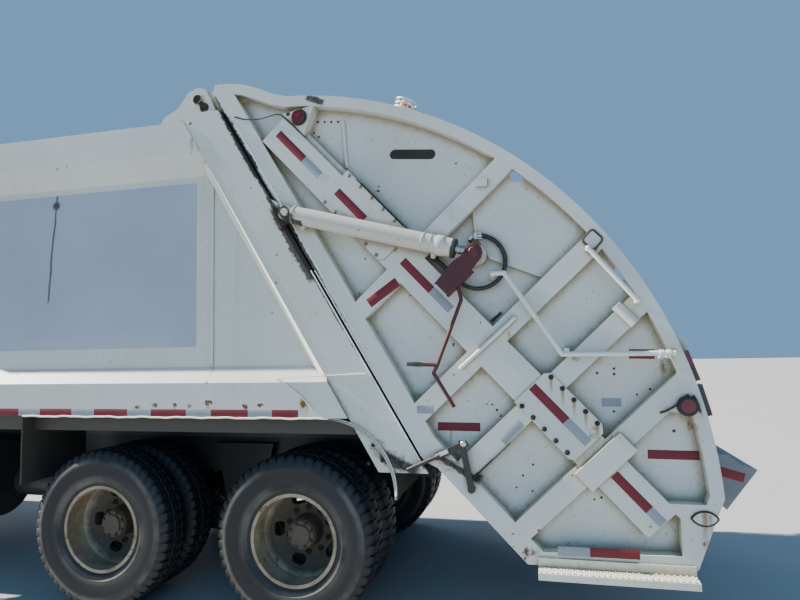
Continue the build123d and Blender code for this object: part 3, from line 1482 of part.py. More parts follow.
def tailgate_props():
    """Safety props that hang on the lift rods' pins: open channel, head plate and bent handle rod."""
    face_y = (LIFT_Y + 32, LIFT_Y + 41)
    head = bar_y(50, LIFT_EYE[0], LIFT_EYE[1], *face_y)
    plate = side_prism(PROP_PLATE, *face_y)
    web = side_prism(PROP_WEB, LIFT_Y - 26, face_y[1])
    rail = side_prism(PROP_RAIL, LIFT_Y + 2, face_y[1])
    prop = head + plate + web + rail
    prop -= bar_y(22 + FIT, LIFT_EYE[0], LIFT_EYE[1], LIFT_Y, LIFT_Y + 60)
    y = LIFT_Y + 14
    run = [(x, y, z) for x, z in PROP_HANDLE]
    handle = rail_run(run, PROP_ROD_R) + bar_between(PROP_ROD_R, run[2], (PROP_GRIP[0], y, PROP_GRIP[1]))
    return both_sides(prop + handle)


# Ejector

def ejector_panel():
    """Slanted push-out panel with its shoes and back frame."""
    top_x = BODY_FRONT - WALL_T - 60
    half = WALL_Y - WALL_T - EJECTOR_GAP
    top_z = EAVE_Z - WALL_T - 30
    low_z = BODY_LOW + WALL_T + EJECTOR_GAP
    slope = 1 / math.tan(math.radians(JOINT_TILT))
    low_x = top_x - (top_z - low_z) * slope
    t = EJECTOR_T
    y = EJECTOR_RUNNER_Y
    plate = side_prism([(top_x, top_z), (top_x - t, top_z), (low_x - t, low_z), (low_x, low_z)], -half, half)
    rib = side_prism([(low_x - 40, low_z), (top_x, low_z), (top_x, low_z + 120), (low_x + 30, low_z + 120)], *y)
    stay = side_prism([(top_x - 90, low_z + 60), (top_x, low_z + 60), (top_x, top_z), (top_x - 90, top_z)], *y)
    foot = block(low_x - 60, top_x, *y, BODY_LOW + WALL_T + FIT, low_z + 30)
    return plate + both_sides(rib + stay + foot)


# Nodes

save("frame_rails", frame_rails())
save("front_axle", front_axle())
save("rear_suspension", rear_suspension())
save("engine_block", engine_block())
save("driveline", driveline())
save("exhaust_stack", exhaust_stack())
save("side_tanks", side_tanks())
save("front_bumper", front_bumper())
save("front_lamps", front_lamps())
save("cab_steps", cab_steps())
save("body_shell", body_shell())
save("body_front_wall", body_front_wall())
save("body_rear_frame", body_rear_frame())
save("rear_fenders", rear_fenders())
save("roof_pipes", roof_pipes())
save("ejector_panel", ejector_panel())

save("cab_shell", cab_shell())
save("cab_glass", cab_glass())
save("cab_interior", cab_interior())
save("steering_wheel", steering_wheel())
save("grille", grille())
save("mirrors", mirrors())
save("cab_lamps", cab_lamps())
plain_tyre = tyre()
for name, side in (("left", 1), ("right", -1)):
    pieces = (
        ("door", door()),
        ("door_glass", door_glass()),
        ("knuckle", knuckle()),
    )
    for piece, shape in pieces:
        save(f"{piece}_{name}", shape if side > 0 else mirror(shape, about=Plane.XZ))
    save(f"tyre_front_{name}", place_wheel(plain_tyre, WHEELBASE, FRONT_Y, side))
    save(f"rim_front_{name}", place_wheel(front_rim(), WHEELBASE, FRONT_Y, side))
    for axle, x in (("mid", TANDEM), ("rear", 0)):
        pair = Pos(0, DUAL_PITCH / 2, 0) * plain_tyre + Pos(0, -DUAL_PITCH / 2, 0) * plain_tyre
        save(f"tyres_{axle}_{name}", place_wheel(pair, x, DUAL_Y, side))
        save(f"rims_{axle}_{name}", place_wheel(dual_rims(), x, DUAL_Y, side))

save("tailgate_sides", both_sides(tailgate_side()))
save("hopper_shell", hopper_shell())
save("tailgate_cover", tailgate_cover())
save("slide_barrels", slide_barrels())
save("grab_rails", grab_rails())
save("riding_steps", riding_steps())
save("tail_lamps", tail_lamps())
save("beacons", beacons())
save("tail_hoses", tail_hoses())
save("latches", latches())
save("slide_carriage", slide_carriage())
save("sweep_blade", sweep_blade())
save("sweep_rods", sweep_rods())
save("lift_barrels", lift_barrels())
save("lift_rods", lift_rods())
save("tailgate_props", tailgate_props())
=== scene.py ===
import math

import bmesh
import bpy
import numpy as np
from mathutils import Matrix, Vector


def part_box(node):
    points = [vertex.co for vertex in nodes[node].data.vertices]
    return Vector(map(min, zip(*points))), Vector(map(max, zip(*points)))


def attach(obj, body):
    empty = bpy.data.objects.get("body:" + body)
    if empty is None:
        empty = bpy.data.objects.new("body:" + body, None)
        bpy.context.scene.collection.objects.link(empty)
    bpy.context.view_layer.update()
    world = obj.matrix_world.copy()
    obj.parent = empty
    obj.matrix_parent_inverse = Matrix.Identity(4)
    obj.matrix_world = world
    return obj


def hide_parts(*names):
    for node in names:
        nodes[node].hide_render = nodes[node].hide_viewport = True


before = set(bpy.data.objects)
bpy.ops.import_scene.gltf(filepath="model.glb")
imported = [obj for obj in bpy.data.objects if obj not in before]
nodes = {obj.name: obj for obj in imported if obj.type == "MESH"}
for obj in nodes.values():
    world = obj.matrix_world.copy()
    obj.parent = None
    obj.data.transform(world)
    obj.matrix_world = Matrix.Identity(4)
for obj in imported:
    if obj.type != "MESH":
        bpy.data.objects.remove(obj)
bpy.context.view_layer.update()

# Chassis: two pressed channel rails with cross members, axles on springs and walking beams, and
# the engine, gearbox and tanks between and beside them. It is brushed black, long since dusty; on the rails,
# axles and driveline the dust is darkened as painted shade.


class Wire:
    """A socket of a material's nodes. Operators on it add Math nodes, and add() makes any other node."""

    def __init__(self, tree, socket=None):
        self.tree = tree
        self.socket = socket

    def add(self, kind, settings=None, inputs=None, out=0):
        """New node of a kind: its settings first, then values or wires into its sockets."""
        node = self.tree.nodes.new("ShaderNode" + kind)
        for key, value in (settings or {}).items():
            setattr(node, key, value)
        for key, value in (inputs or {}).items():
            if isinstance(value, Wire):
                self.tree.links.new(value.socket, node.inputs[key])
            elif isinstance(value, tuple) and len(value) == 3 and node.inputs[key].type == "RGBA":
                node.inputs[key].default_value = (*value, 1.0)
            else:
                node.inputs[key].default_value = value
        return Wire(self.tree, node.outputs[out] if len(node.outputs) else None)

    def maths(self, operation, first, second=0.0):
        return self.add("Math", {"operation": operation}, {0: first, 1: second})

    def __add__(self, other):
        return self.maths("ADD", self, other)

    def __radd__(self, other):
        return self.maths("ADD", other, self)

    def __sub__(self, other):
        return self.maths("SUBTRACT", self, other)

    def __rsub__(self, other):
        return self.maths("SUBTRACT", other, self)

    def __mul__(self, other):
        return self.maths("MULTIPLY", self, other)

    def __pow__(self, other):
        return self.maths("POWER", self, other)

    def most(self, other):
        """The larger of the two."""
        return self.maths("MAXIMUM", self, other)

    def absolute(self):
        """The value without its sign."""
        return self.maths("ABSOLUTE", self)

    def step(self, start, end):
        """0 below start, 1 above end and a soft rise between them."""
        inputs = {"Value": self, "From Min": start, "From Max": end}
        return self.add("MapRange", {"interpolation_type": "SMOOTHSTEP"}, inputs)

    def tint(self, low, high):
        """Colour between low and high, by this value."""
        return self.add("Mix", {"data_type": "RGBA"}, {0: self, 6: low, 7: high}, 2)

    def split(self):
        """The x, y and z of a vector."""
        node = self.add("SeparateXYZ", inputs={0: self}).socket.node
        return [Wire(self.tree, out) for out in node.outputs]


def new_material(name):
    """Empty material and the wire of its Object coordinates."""
    material = bpy.data.materials.new(name)
    material.use_nodes = True
    tree = material.node_tree
    tree.nodes.clear()
    return material, Wire(tree).add("TexCoord", out="Object")


def noise(place, scale, detail=3.0, roughness=0.55, stretch=(1.0, 1.0, 1.0)):
    """Noise between 0 and 1 with features about 1/scale metres wide."""
    size = place.add("Mapping", inputs={"Vector": place, "Scale": tuple(scale * s for s in stretch)})
    inputs = {"Vector": size, "Scale": 1.0, "Detail": detail, "Roughness": roughness}
    return place.add("TexNoise", inputs=inputs)


def finish_with(material, wire, colour, roughness, bump=None, depth=0.002, **fixed):
    """Principled surface from a colour, a roughness and a bump height; fixed holds its other inputs."""
    inputs = {"Base Color": colour, "Roughness": roughness}
    if bump is not None:
        inputs["Normal"] = wire.add("Bump", inputs={"Strength": 1.0, "Distance": depth, "Height": bump})
    inputs.update({key.replace("_", " "): value for key, value in fixed.items()})
    surface = wire.add("BsdfPrincipled", inputs=inputs)
    wire.add("OutputMaterial", inputs={"Surface": surface})
    return material


def crevice(place, reach):
    """1 in corners and seams closer than reach metres, 0 on open faces."""
    open_sky = place.add("AmbientOcclusion", {"samples": 6}, {"Distance": reach}, "AO")
    return 1.0 - open_sky


def dusty_paint(name, colour, dust, share, gloss=0.45, **fixed):
    """Dark finish under road dust, which gathers in broad patches and corners and thins to a speckle."""
    material, place = new_material(name)
    broad = noise(place, 1.7, 5.0, 0.6)
    fine = noise(place, 60.0, 2.0)
    cover = (broad * 0.75 + fine * 0.25).step(0.62 - share * 0.4, 0.78 - share * 0.2) * 0.9
    cover = cover.most(crevice(place, 0.06).step(0.25, 0.9) * 0.8)
    tone = cover.tint(colour, dust)
    grain = fine * 0.4 + broad * 0.6
    return finish_with(material, place, tone, gloss + cover * (0.92 - gloss), grain, 0.0015, **fixed)


def dress(names, material):
    """Gives the material to frame nodes of these names."""
    for name in names.split():
        mesh = nodes[name].data
        mesh.materials.clear()
        mesh.materials.append(material)


ROAD_DUST = (0.085, 0.070, 0.054)
# Near-black road muck colours, also used as painted shade below the skirt and over the fenders.
MUD_AND_SHADE_DARK, MUD_AND_SHADE_PALE = (0.011, 0.009, 0.007), (0.048, 0.036, 0.027)
# Painted shade: the rails, axles and driveline take a dust far darker than ROAD_DUST, standing for the shadow
# under the body.
chassis_black_and_shade = dusty_paint("chassis_black_and_shade", (0.009, 0.009, 0.010), (0.036, 0.029, 0.022), 0.45)
dress("frame_rails front_axle rear_suspension driveline knuckle_left knuckle_right", chassis_black_and_shade)
steel_black = dusty_paint("steel_black", (0.020, 0.020, 0.022), ROAD_DUST, 0.2, 0.32)
dress("front_bumper cab_steps side_tanks", steel_black)
dress("engine_block", dusty_paint("engine_iron", (0.09, 0.09, 0.095), (0.05, 0.04, 0.03), 0.5))
exhaust_metal = dusty_paint("exhaust_metal", (0.42, 0.40, 0.37), (0.20, 0.12, 0.07), 0.25, 0.3, Metallic=0.8)
dress("exhaust_stack", exhaust_metal)

# Tyres: ten steel-cord tyres, treaded with deep lugs, twins on the rear axles. The sides are buffed
# to a dull shine in rings where they rub, painted pale brown as wear and as a painted highlight of their
# sheen, and dust lies in the grooves.

rear_low, rear_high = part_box("tyres_rear_left")
AXLE_X = (rear_low.x + rear_high.x) / 2
TANDEM, WHEELBASE = 1.397, 5.250
WHEEL_Z = 0.525
DUAL_Y, DUAL_PITCH, FRONT_Y = 0.915, 0.326, 1.045
LUGS = 50
GROOVE = 0.013


def grid_faces(rows, columns, loop=False):
    """Four-sided faces of a grid of points numbered along its rows. With loop, the last column joins the
    first."""
    row, column = np.meshgrid(np.arange(rows - 1), np.arange(columns if loop else columns - 1), indexing="ij")
    after = (column + 1) % columns
    near, far = row * columns, (row + 1) * columns
    return np.stack((near + column, far + column, far + after, near + after), -1).reshape(-1, 4)


def new_object(name, data):
    """Object of this name and data, put into the scene."""
    thing = bpy.data.objects.new(name, data)
    bpy.context.scene.collection.objects.link(thing)
    return thing


def make_piece(name, shapes, body, material, sharp=35.0):
    """One mesh from (points, face groups) shapes: doubles merged, faces turned outwards, riding on a body."""
    points, faces, start = [], [], 0
    for spots, groups in shapes:
        spots = np.asarray(spots, float).reshape(-1, 3)
        points.append(spots)
        for group in groups:
            faces.extend((np.asarray(group) + start).tolist())
        start += len(spots)
    mesh = bpy.data.meshes.new(name)
    mesh.from_pydata(np.concatenate(points).tolist(), [], faces)
    work = bmesh.new()
    work.from_mesh(mesh)
    bmesh.ops.remove_doubles(work, verts=work.verts, dist=2e-5)
    bmesh.ops.recalc_face_normals(work, faces=work.faces)
    work.to_mesh(mesh)
    work.free()
    mesh.shade_smooth()
    mesh.set_sharp_from_angle(angle=math.radians(sharp))
    mesh.materials.append(material)
    piece = new_object(name, mesh)
    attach(piece, body)
    return piece


def mirrored(shape):
    """The shape on the truck's other side."""
    points, groups = shape
    return np.asarray(points) * (1.0, -1.0, 1.0), groups


def both(shapes):
    """The shapes and their mirror images on the truck's other side."""
    return shapes + [mirrored(shape) for shape in shapes]


TYRE_HALF = (
    # place along the axle from the middle, radius, how deep a lug's groove cuts there
    (0.0020, 0.5250, 0.6),
    (0.0300, 0.5250, 0.6),
    (0.0330, 0.5120, 0.0),
    (0.0410, 0.5120, 0.0),
    (0.0440, 0.5245, 1.0),
    (0.1010, 0.5215, 1.0),
    (0.1060, 0.5190, 1.0),
    (0.1160, 0.5080, 0.8),
    (0.1260, 0.4860, 0.5),
    (0.1320, 0.4700, 0.0),
    (0.1360, 0.4520, 0.0),
    (0.1372, 0.4470, 0.0),
    (0.1362, 0.4430, 0.0),
    (0.1378, 0.4100, 0.0),
    (0.1352, 0.3700, 0.0),
    (0.1290, 0.3360, 0.0),
    (0.1302, 0.3300, 0.0),
    (0.1262, 0.3250, 0.0),
    (0.1170, 0.3060, 0.0),
    (0.1120, 0.2960, 0.0),
    (0.1078, 0.2868, 0.0),
)


def tyre(x, y):
    """Tyre: its half section, mirrored, goes once round the axle. In the last third of each lug's pitch the
    radius drops by a groove, half a pitch later on the inner half, so the lugs stand in two offset rings."""
    half = np.array(TYRE_HALF)
    section = np.concatenate([half[::-1] * (-1, 1, 1), half])
    pitch = np.array((0.0, 0.34, 0.68, 0.73, 0.95))
    turn = ((np.arange(LUGS)[:, None] + pitch[None]).reshape(-1)) / LUGS
    low = np.tile((0.0, 0.0, 0.0, 1.0, 1.0), LUGS)
    shift = np.where(section[:, 0] > 0, 0.0, 0.5 / LUGS)
    angle = 2 * math.pi * (turn[None] + shift[:, None])
    radius = section[:, 1:2] - GROOVE * section[:, 2:3] * low[None]
    across = np.broadcast_to(section[:, 0:1], radius.shape)
    points = np.stack([x + radius * np.cos(angle), y + across, WHEEL_Z + radius * np.sin(angle)], -1)
    ring = np.concatenate([points, points[:1]])
    return ring, [grid_faces(len(ring), ring.shape[1], True)]


def from_axle(place):
    """Distance from the nearest axle, on a side face."""
    x, y, z = place.split()
    reach = None
    for ahead in (0.0, TANDEM, WHEELBASE):
        away = ((x - (AXLE_X + ahead)) ** 2.0 + (z - WHEEL_Z) ** 2.0) ** 0.5
        reach = away if reach is None else reach.maths("MINIMUM", reach, away)
    return reach


def tyre_rubber():
    """Black rubber, grey with dust in the grooves, with a pale brown ring below the tread and another against
    the rim: scuffs, and a painted highlight of the sidewall's sheen."""
    material, place = new_material("tyre_rubber_worn_and_sheen")
    broad = noise(place, 2.6, 4.0, 0.6)
    fine = noise(place, 90.0, 3.0, 0.6)
    reach = from_axle(place) + (broad - 0.5) * 0.030
    outer = reach.step(0.430, 0.458) * (1.0 - reach.step(0.462, 0.480))
    inner = reach.step(0.300, 0.318) * (1.0 - reach.step(0.335, 0.372))
    # Painted highlight and wear: the two pale brown rings stand for the sidewall's sheen as well as rubbing.
    scuff_and_sheen = (outer.most(inner) * broad.step(0.36, 0.62)) * (0.35 + fine * 0.8)
    dust = crevice(place, 0.03).step(0.20, 0.85) * 0.45 + broad.step(0.52, 0.78) * 0.20
    tone = dust.tint((0.0055, 0.0062, 0.0092), (0.052, 0.044, 0.036))
    tone = (scuff_and_sheen * 0.72).tint(tone, (0.145, 0.128, 0.108))
    rough = 0.50 + broad * 0.22 + dust * 0.15 - scuff_and_sheen * 0.22
    return finish_with(material, place, tone, rough, fine * 0.7 + broad * 0.3, 0.0012)


rubber = tyre_rubber()
WHEELS = (
    # body, tyre node, place of the axle ahead of the rearmost, side, twin
    ("wheel_front_left", "tyre_front_left", WHEELBASE, 1, False),
    ("wheel_front_right", "tyre_front_right", WHEELBASE, -1, False),
    ("wheels_mid_left", "tyres_mid_left", TANDEM, 1, True),
    ("wheels_mid_right", "tyres_mid_right", TANDEM, -1, True),
    ("wheels_rear_left", "tyres_rear_left", 0.0, 1, True),
    ("wheels_rear_right", "tyres_rear_right", 0.0, -1, True),
)
for body, node, ahead, side, twin in WHEELS:
    places = [DUAL_Y + DUAL_PITCH / 2, DUAL_Y - DUAL_PITCH / 2] if twin else [FRONT_Y]
    shapes = [tyre(AXLE_X + ahead, side * y) for y in places]
    worn = make_piece(node.replace("tyre", "treaded_tyre"), shapes, body, rubber, 28.0)
    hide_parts(node)

# Wheels: pressed steel discs with oval hand holes, painted a cream darkened as painted shade, browned by
# brake dust and painted shade towards the hub, held by ten studs each. The drive hubs carry a bolted flange,
# and the front hubs a grease cap.


def turned(profile, centre, axis, steps=32):
    """Turned shape: each (radius, along) point of the profile goes once round an axis through a centre."""
    axis = np.array(Vector(axis).normalized())
    side = np.array(Vector(axis).orthogonal().normalized())
    turn = np.linspace(0.0, 2.0 * math.pi, steps, endpoint=False)
    ring = np.cos(turn)[:, None] * side + np.sin(turn)[:, None] * np.cross(axis, side)
    profile = np.asarray(profile, float)[:, :, None, None]
    points = np.asarray(centre) + profile[:, 0] * ring[None] + profile[:, 1] * axis
    return points, [grid_faces(len(profile), steps, True)]


def stamped(shape, places):
    """The shape once at each place, all in one."""
    points, groups = shape
    points = np.asarray(points).reshape(-1, 3)
    places = np.asarray(places, float).reshape(-1, 3)
    jump = np.arange(len(places))[:, None, None] * len(points)
    faces = [(group[None] + jump).reshape(-1, group.shape[1]) for group in groups]
    return points[None] + places[:, None], faces


def hex_bolt(size, outward):
    """Bolt head on a washer at the origin: a turned washer and a six-sided head with a domed top."""
    washer = size * np.array(((0.0, 0.0), (1.15, 0.0), (1.15, 0.18), (0.0, 0.18)))
    head = size * np.array(((0.92, 0.1), (0.92, 0.75), (0.72, 0.9), (0.0, 0.92)))
    low, low_faces = turned(washer, (0, 0, 0), outward, 14)
    high, high_faces = turned(head, (0, 0, 0), outward, 6)
    points = np.concatenate([low.reshape(-1, 3), high.reshape(-1, 3)])
    return points, [low_faces[0], high_faces[0] + low.size // 3]


def stud_ring(count, radius, x, y):
    """Places of studs on a circle about the axle."""
    turn = 2 * math.pi * (np.arange(count) + 0.5) / count
    return np.stack([x + radius * np.cos(turn), np.full(count, y), WHEEL_Z + radius * np.sin(turn)], -1)


DISC_OUT, FRONT_DISC_OUT, FLANGE_OUT = 0.016, 0.112, 0.150
STUDS, STUD_CIRCLE_R, FLANGE_BOLTS, FLANGE_BOLT_R = 10, 0.143, 8, 0.076
STUD = ((0.0095, 0.0), (0.0095, 0.036), (0.0075, 0.040), (0.0, 0.040))
HUB_RING = ((0.104, 0.0), (0.106, 0.004), (0.106, 0.010), (0.100, 0.014), (0.097, 0.010), (0.097, 0.0))
hub_rust = dusty_paint("hub_rust", (0.040, 0.024, 0.016), (0.070, 0.050, 0.035), 0.5, 0.6)
for body, node, ahead, side, twin in WHEELS:
    x = AXLE_X + ahead
    outward = (0, side, 0)
    seat = side * (DUAL_Y + DISC_OUT if twin else FRONT_Y + FRONT_DISC_OUT)
    places = stud_ring(STUDS, STUD_CIRCLE_R, x, seat)
    shapes = [stamped(hex_bolt(0.019, outward), places)]
    shapes.append(stamped(turned(STUD, (0, 0, 0), outward, 8), places))
    if twin:
        flange = stud_ring(FLANGE_BOLTS, FLANGE_BOLT_R, x, side * (DUAL_Y + FLANGE_OUT))
        shapes.append(stamped(hex_bolt(0.011, outward), flange))
    shapes.append(turned(HUB_RING, (x, seat, WHEEL_Z), outward, 40))
    make_piece("wheel_nuts_" + body, shapes, body, hub_rust, 40.0)


def aged_paint(name, colour, chalk, grime_and_shade=1.0, freckles=1.0, runs=1.0, gloss=0.42, patches=(), grease=(),
               mud_and_shade_below=None, drips=()):
    """Old paint: chalk by broad noise, ochre staining and painted shade in corners, ochre runs downward, rust
    freckles, rust patches at (x, z, half width, half height, strength), black grease along (x, z, x, z, half
    width) lines, near-black road muck and painted shade below the height and inboard of the width in the
    pair that follows grease, and ochre drips at (x, top, length, half width, strength). Each x is counted
    from the rearmost axle."""
    material, place = new_material(name)
    broad = noise(place, 0.9, 4.0, 0.6)
    run = noise(place, 11.0, 3.0, 0.6, (1.0, 1.0, 0.05))
    fine = noise(place, 38.0, 4.0, 0.65)
    tone = broad.step(0.35, 0.65).tint(colour, chalk)
    # Ochre staining and painted shade: ambient occlusion darkens the paint in corners and seams.
    dirt_and_shade = (crevice(place, 0.07) * (0.30 + fine * 1.2) * grime_and_shade).step(0.16, 0.80)
    tone = (dirt_and_shade * 0.85).tint(tone, (0.30, 0.235, 0.13))
    streak = ((run - 0.5) * 2.0).step(0.16, 0.8) * (0.20 * runs)
    tone = streak.tint(tone, (0.30, 0.26, 0.185))
    spots = noise(place, 24.0, 2.0, 0.5).step(0.715, 0.76)
    spots = spots * noise(place, 1.3, 2.0).step(0.46, 0.60) * freckles
    specks = noise(place, 95.0, 1.0, 0.5).step(0.735, 0.77) * 0.7 * freckles
    rust = spots.most(specks)
    x, y, z = place.split()
    for at_x, at_z, wide, tall, strength in patches:
        near_x = ((x - (AXLE_X + at_x)) * (1.0 / wide)) ** 2.0
        near_z = ((z - at_z) * (1.0 / tall)) ** 2.0
        near = 1.0 - (near_x + near_z)
        blot = (near.step(0.0, 1.0) * 0.42 + fine * 0.80 + run * 0.45 - 0.80).step(0.10, 0.42)
        rust = rust.most(blot * near.step(0.0, 0.4) * strength)
    shade = noise(place, 55.0, 2.0).tint((0.070, 0.028, 0.013), (0.20, 0.085, 0.028))
    tone = rust.tint(tone, shade)
    for at_x, top, long, half, strength in drips:
        aside = (x - (AXLE_X + at_x)).absolute() + (fine - 0.5) * half
        streak = (1.0 - aside.step(half * 0.2, half)) * z.step(top - long, top)
        streak = streak * (1.0 - z.step(top, top + 0.004))
        tone = (streak * strength).tint(tone, (0.27, 0.125, 0.030))
    rough = gloss + broad * 0.14 + dirt_and_shade * 0.25 + rust * 0.25
    # Road muck and painted shade: below the given height and inboard of the given width, the paint turns near
    # black.
    if mud_and_shade_below:
        low, inside = mud_and_shade_below
        mud_and_shade = 1.0 - (z + (broad - 0.5) * 0.03).step(low - 0.010, low)
        mud_and_shade = mud_and_shade * (1.0 - y.absolute().step(inside, inside + 0.006))
        tone = (mud_and_shade * 0.96).tint(tone, fine.tint(MUD_AND_SHADE_DARK, MUD_AND_SHADE_PALE))
    for x0, z0, x1, z1, half in grease:
        long = math.hypot(x1 - x0, z1 - z0)
        run_x, run_z = (x1 - x0) / long, (z1 - z0) / long
        off_x, off_z = x - (AXLE_X + x0), z - z0
        along = off_x * run_x + off_z * run_z
        aside = (off_x * -run_z + off_z * run_x).absolute()
        ragged = aside + (broad - 0.5) * half * 2.6 + (fine - 0.5) * half * 1.4
        film = 1.0 - ragged.step(half * 0.45, half * 0.80)
        film = film * along.step(-half, 0.0) * (1.0 - along.step(long, long + half)) * (0.70 + fine * 0.5)
        tone = (film * 0.97).tint(tone, fine.tint((0.005, 0.004, 0.003), (0.034, 0.025, 0.017)))
        rough = rough + film * 0.4
    return finish_with(material, place, tone, rough, fine * 0.3 + rust * 0.7, 0.0010)


def rim_paint():
    """Cream wheel paint darkened all over as painted shade, chalky at the outer flange, brown with brake
    dust, grease and painted shade towards the hub and in corners.
    """
    material, place = new_material("rim_cream_and_shade")
    reach = from_axle(place)
    broad = noise(place, 7.0, 4.0, 0.6)
    fine = noise(place, 45.0, 4.0, 0.65)
    # Painted shade: both tones lie well below the body's cream, standing for the shade the wheels stand in.
    tone = broad.step(0.35, 0.7).tint((0.27, 0.205, 0.125), (0.36, 0.31, 0.22))
    # Brake dust and painted shade: darker towards the hub and in corners.
    dirt_and_shade = 1.0 - (reach + (broad - 0.5) * 0.07).step(0.235, 0.283)
    dirt_and_shade = dirt_and_shade.most((crevice(place, 0.05) * (0.5 + fine)).step(0.25, 0.85))
    tone = (dirt_and_shade * 0.92).tint(tone, fine.tint((0.026, 0.020, 0.015), (0.110, 0.085, 0.062)))
    spots = noise(place, 30.0, 2.0, 0.5).step(0.64, 0.70) * 0.8
    tone = spots.tint(tone, (0.11, 0.055, 0.028))
    return finish_with(material, place, tone, 0.45 + broad * 0.15 + dirt_and_shade * 0.25, fine * 0.6 + spots, 0.0010)


RIMS = "rim_front_left rim_front_right rims_mid_left rims_mid_right rims_rear_left rims_rear_right"
dress(RIMS, rim_paint())

# Load body: one welded sheet-steel box with a slanted rear post, painted cream and chalked by weather. A
# glossy grey-blue vinyl panel is stuck on each side, and red and silver reflective tape runs on the skirts.

BODY_WALL_Y, SKIRT_Y = 1.120, 1.220
# Top and inboard limit of the near-black band of road muck and painted shade on the wall under the skirt.
MUD_AND_SHADE_TOP, MUD_AND_SHADE_IN = 1.285, 1.186
CREAM, CHALK = (0.56, 0.555, 0.50), (0.62, 0.62, 0.58)
body_cream = aged_paint("body_cream", CREAM, CHALK, 1.5, 1.1, 1.7, patches=(
    (0.90, 1.295, 0.90, 0.045, 0.9),
    (1.55, 1.290, 0.60, 0.040, 1.0),
    (2.90, 1.295, 0.90, 0.045, 0.9),
    (1.23, 3.315, 0.13, 0.05, 1.1),
    (-0.66, 1.02, 0.12, 0.12, 1.0),
    (0.72, 3.10, 0.03, 0.10, 0.7),
    (1.092, 1.342, 0.045, 0.022, 1.5),
    (0.966, 1.355, 0.050, 0.030, 1.6),
    (0.813, 1.358, 0.040, 0.024, 1.6),
    (0.709, 1.352, 0.036, 0.026, 1.5),
    (0.570, 1.372, 0.050, 0.034, 1.6),
    (0.308, 1.350, 0.035, 0.028, 1.5),
    (0.201, 1.356, 0.045, 0.024, 1.6),
    (-0.085, 1.366, 0.040, 0.040, 1.6),
    (0.585, 1.505, 0.022, 0.026, 1.4),
    (-0.560, 1.100, 0.090, 0.090, 0.9),
), grease=(
    (0.555, 3.395, -0.842, 1.000, 0.022),
    (0.480, 3.270, 0.200, 2.790, 0.040),
    (0.090, 2.600, -0.160, 2.170, 0.052),
    (-0.600, 1.060, -0.780, 0.975, 0.060),
    (0.690, 3.430, 0.655, 3.380, 0.030),
), mud_and_shade_below=(MUD_AND_SHADE_TOP, MUD_AND_SHADE_IN), drips=(
    (0.585, 1.600, 0.13, 0.010, 0.6),
    (-0.080, 1.400, 0.10, 0.016, 0.8),
    (-0.115, 1.370, 0.08, 0.012, 0.7),
    (0.570, 1.365, 0.07, 0.012, 0.8),
    (0.813, 1.355, 0.06, 0.010, 0.7),
))
dress("body_shell body_front_wall body_rear_frame", body_cream)


def fender_paint():
    """The body's cream, buried under black road muck and painted shade except at the rear bend, where it has
    washed to grey.
    """
    material, place = new_material("fender_mud_and_shade")
    broad = noise(place, 4.0, 5.0, 0.62)
    fine = noise(place, 45.0, 4.0, 0.65)
    x, y, z = place.split()
    # Painted shade and road muck: all of the fender except the outboard rear bend is near black.
    mud_and_shade = (x + (broad - 0.5) * 0.35).step(AXLE_X - 0.52, AXLE_X - 0.10)
    mud_and_shade = mud_and_shade.most(1.0 - (y * y + (fine - 0.5) * 0.02).step(1.42, 1.47))
    tone = broad.step(0.3, 0.7).tint((0.26, 0.25, 0.22), (0.36, 0.355, 0.32))
    muck = (fine * 0.6 + broad * 0.4).tint(MUD_AND_SHADE_DARK, MUD_AND_SHADE_PALE)
    tone = (mud_and_shade * 0.96).tint(tone, muck)
    return finish_with(material, place, tone, 0.55 + mud_and_shade * 0.35, fine * 0.5 + broad * 0.5, 0.003)


dress("rear_fenders", fender_paint())
dress("roof_pipes", aged_paint("pipe_paint", (0.50, 0.49, 0.44), (0.58, 0.57, 0.52), 1.4, 1.6))


def spread(rows, columns, first=(0.0, 1.0), second=(0.0, 1.0)):
    """Two grids of numbers: one rises evenly over the rows between two ends, the other over the columns."""
    return np.meshgrid(np.linspace(*first, rows), np.linspace(*second, columns), indexing="ij")


def slab(top, bottom):
    """Closed sheet between two grids of points of one size: both faces and a wall round their edge."""
    rows, columns = top.shape[:2]
    count = rows * columns
    index = np.arange(count).reshape(rows, columns)
    face = grid_faces(rows, columns)
    edge = np.concatenate([index[0], index[1:, -1], index[-1, -2::-1], index[-2:0:-1, 0]])
    after = np.roll(edge, -1)
    walls = np.stack([edge, after, after + count, edge + count], 1)
    return np.concatenate([top.reshape(-1, 3), bottom.reshape(-1, 3)]), [face, face[:, ::-1] + count, walls]


def tape(start, end, across, out, thickness=0.0012, columns=14):
    """Tape on a face from one point to another: a flat grid 5 points wide, across by half a width each way,
    whose outer face ripples by a sine of its length and thins to nothing at the rim."""
    start, end, across, out = (np.asarray(v, float) for v in (start, end, across, out))
    u = np.linspace(0.0, 1.0, columns)[:, None, None]
    v = np.array((-1.0, -0.94, 0.0, 0.94, 1.0))[None, :, None]
    flat = start + u * (end - start) + v * across
    ripple = 0.0004 * np.sin(31.0 * u + 2.0 * v) + 0.0003 * np.sin(77.0 * u)
    height = thickness * np.minimum(1.0, 12.0 * (1.03 - np.abs(v))) + ripple
    return slab(flat + np.maximum(height, 0.0003) * out, flat)


def strip(start, end, width, face_y):
    """Tape on a side face from one (x, z) to another, each x counted from the rearmost axle."""
    (x0, z0), (x1, z1) = start, end
    long = math.hypot(x1 - x0, z1 - z0)
    across = (-(z1 - z0) / long * width / 2, 0.0, (x1 - x0) / long * width / 2)
    return tape((AXLE_X + x0, face_y, z0), (AXLE_X + x1, face_y, z1), across, (0.0, 1.0, 0.0))


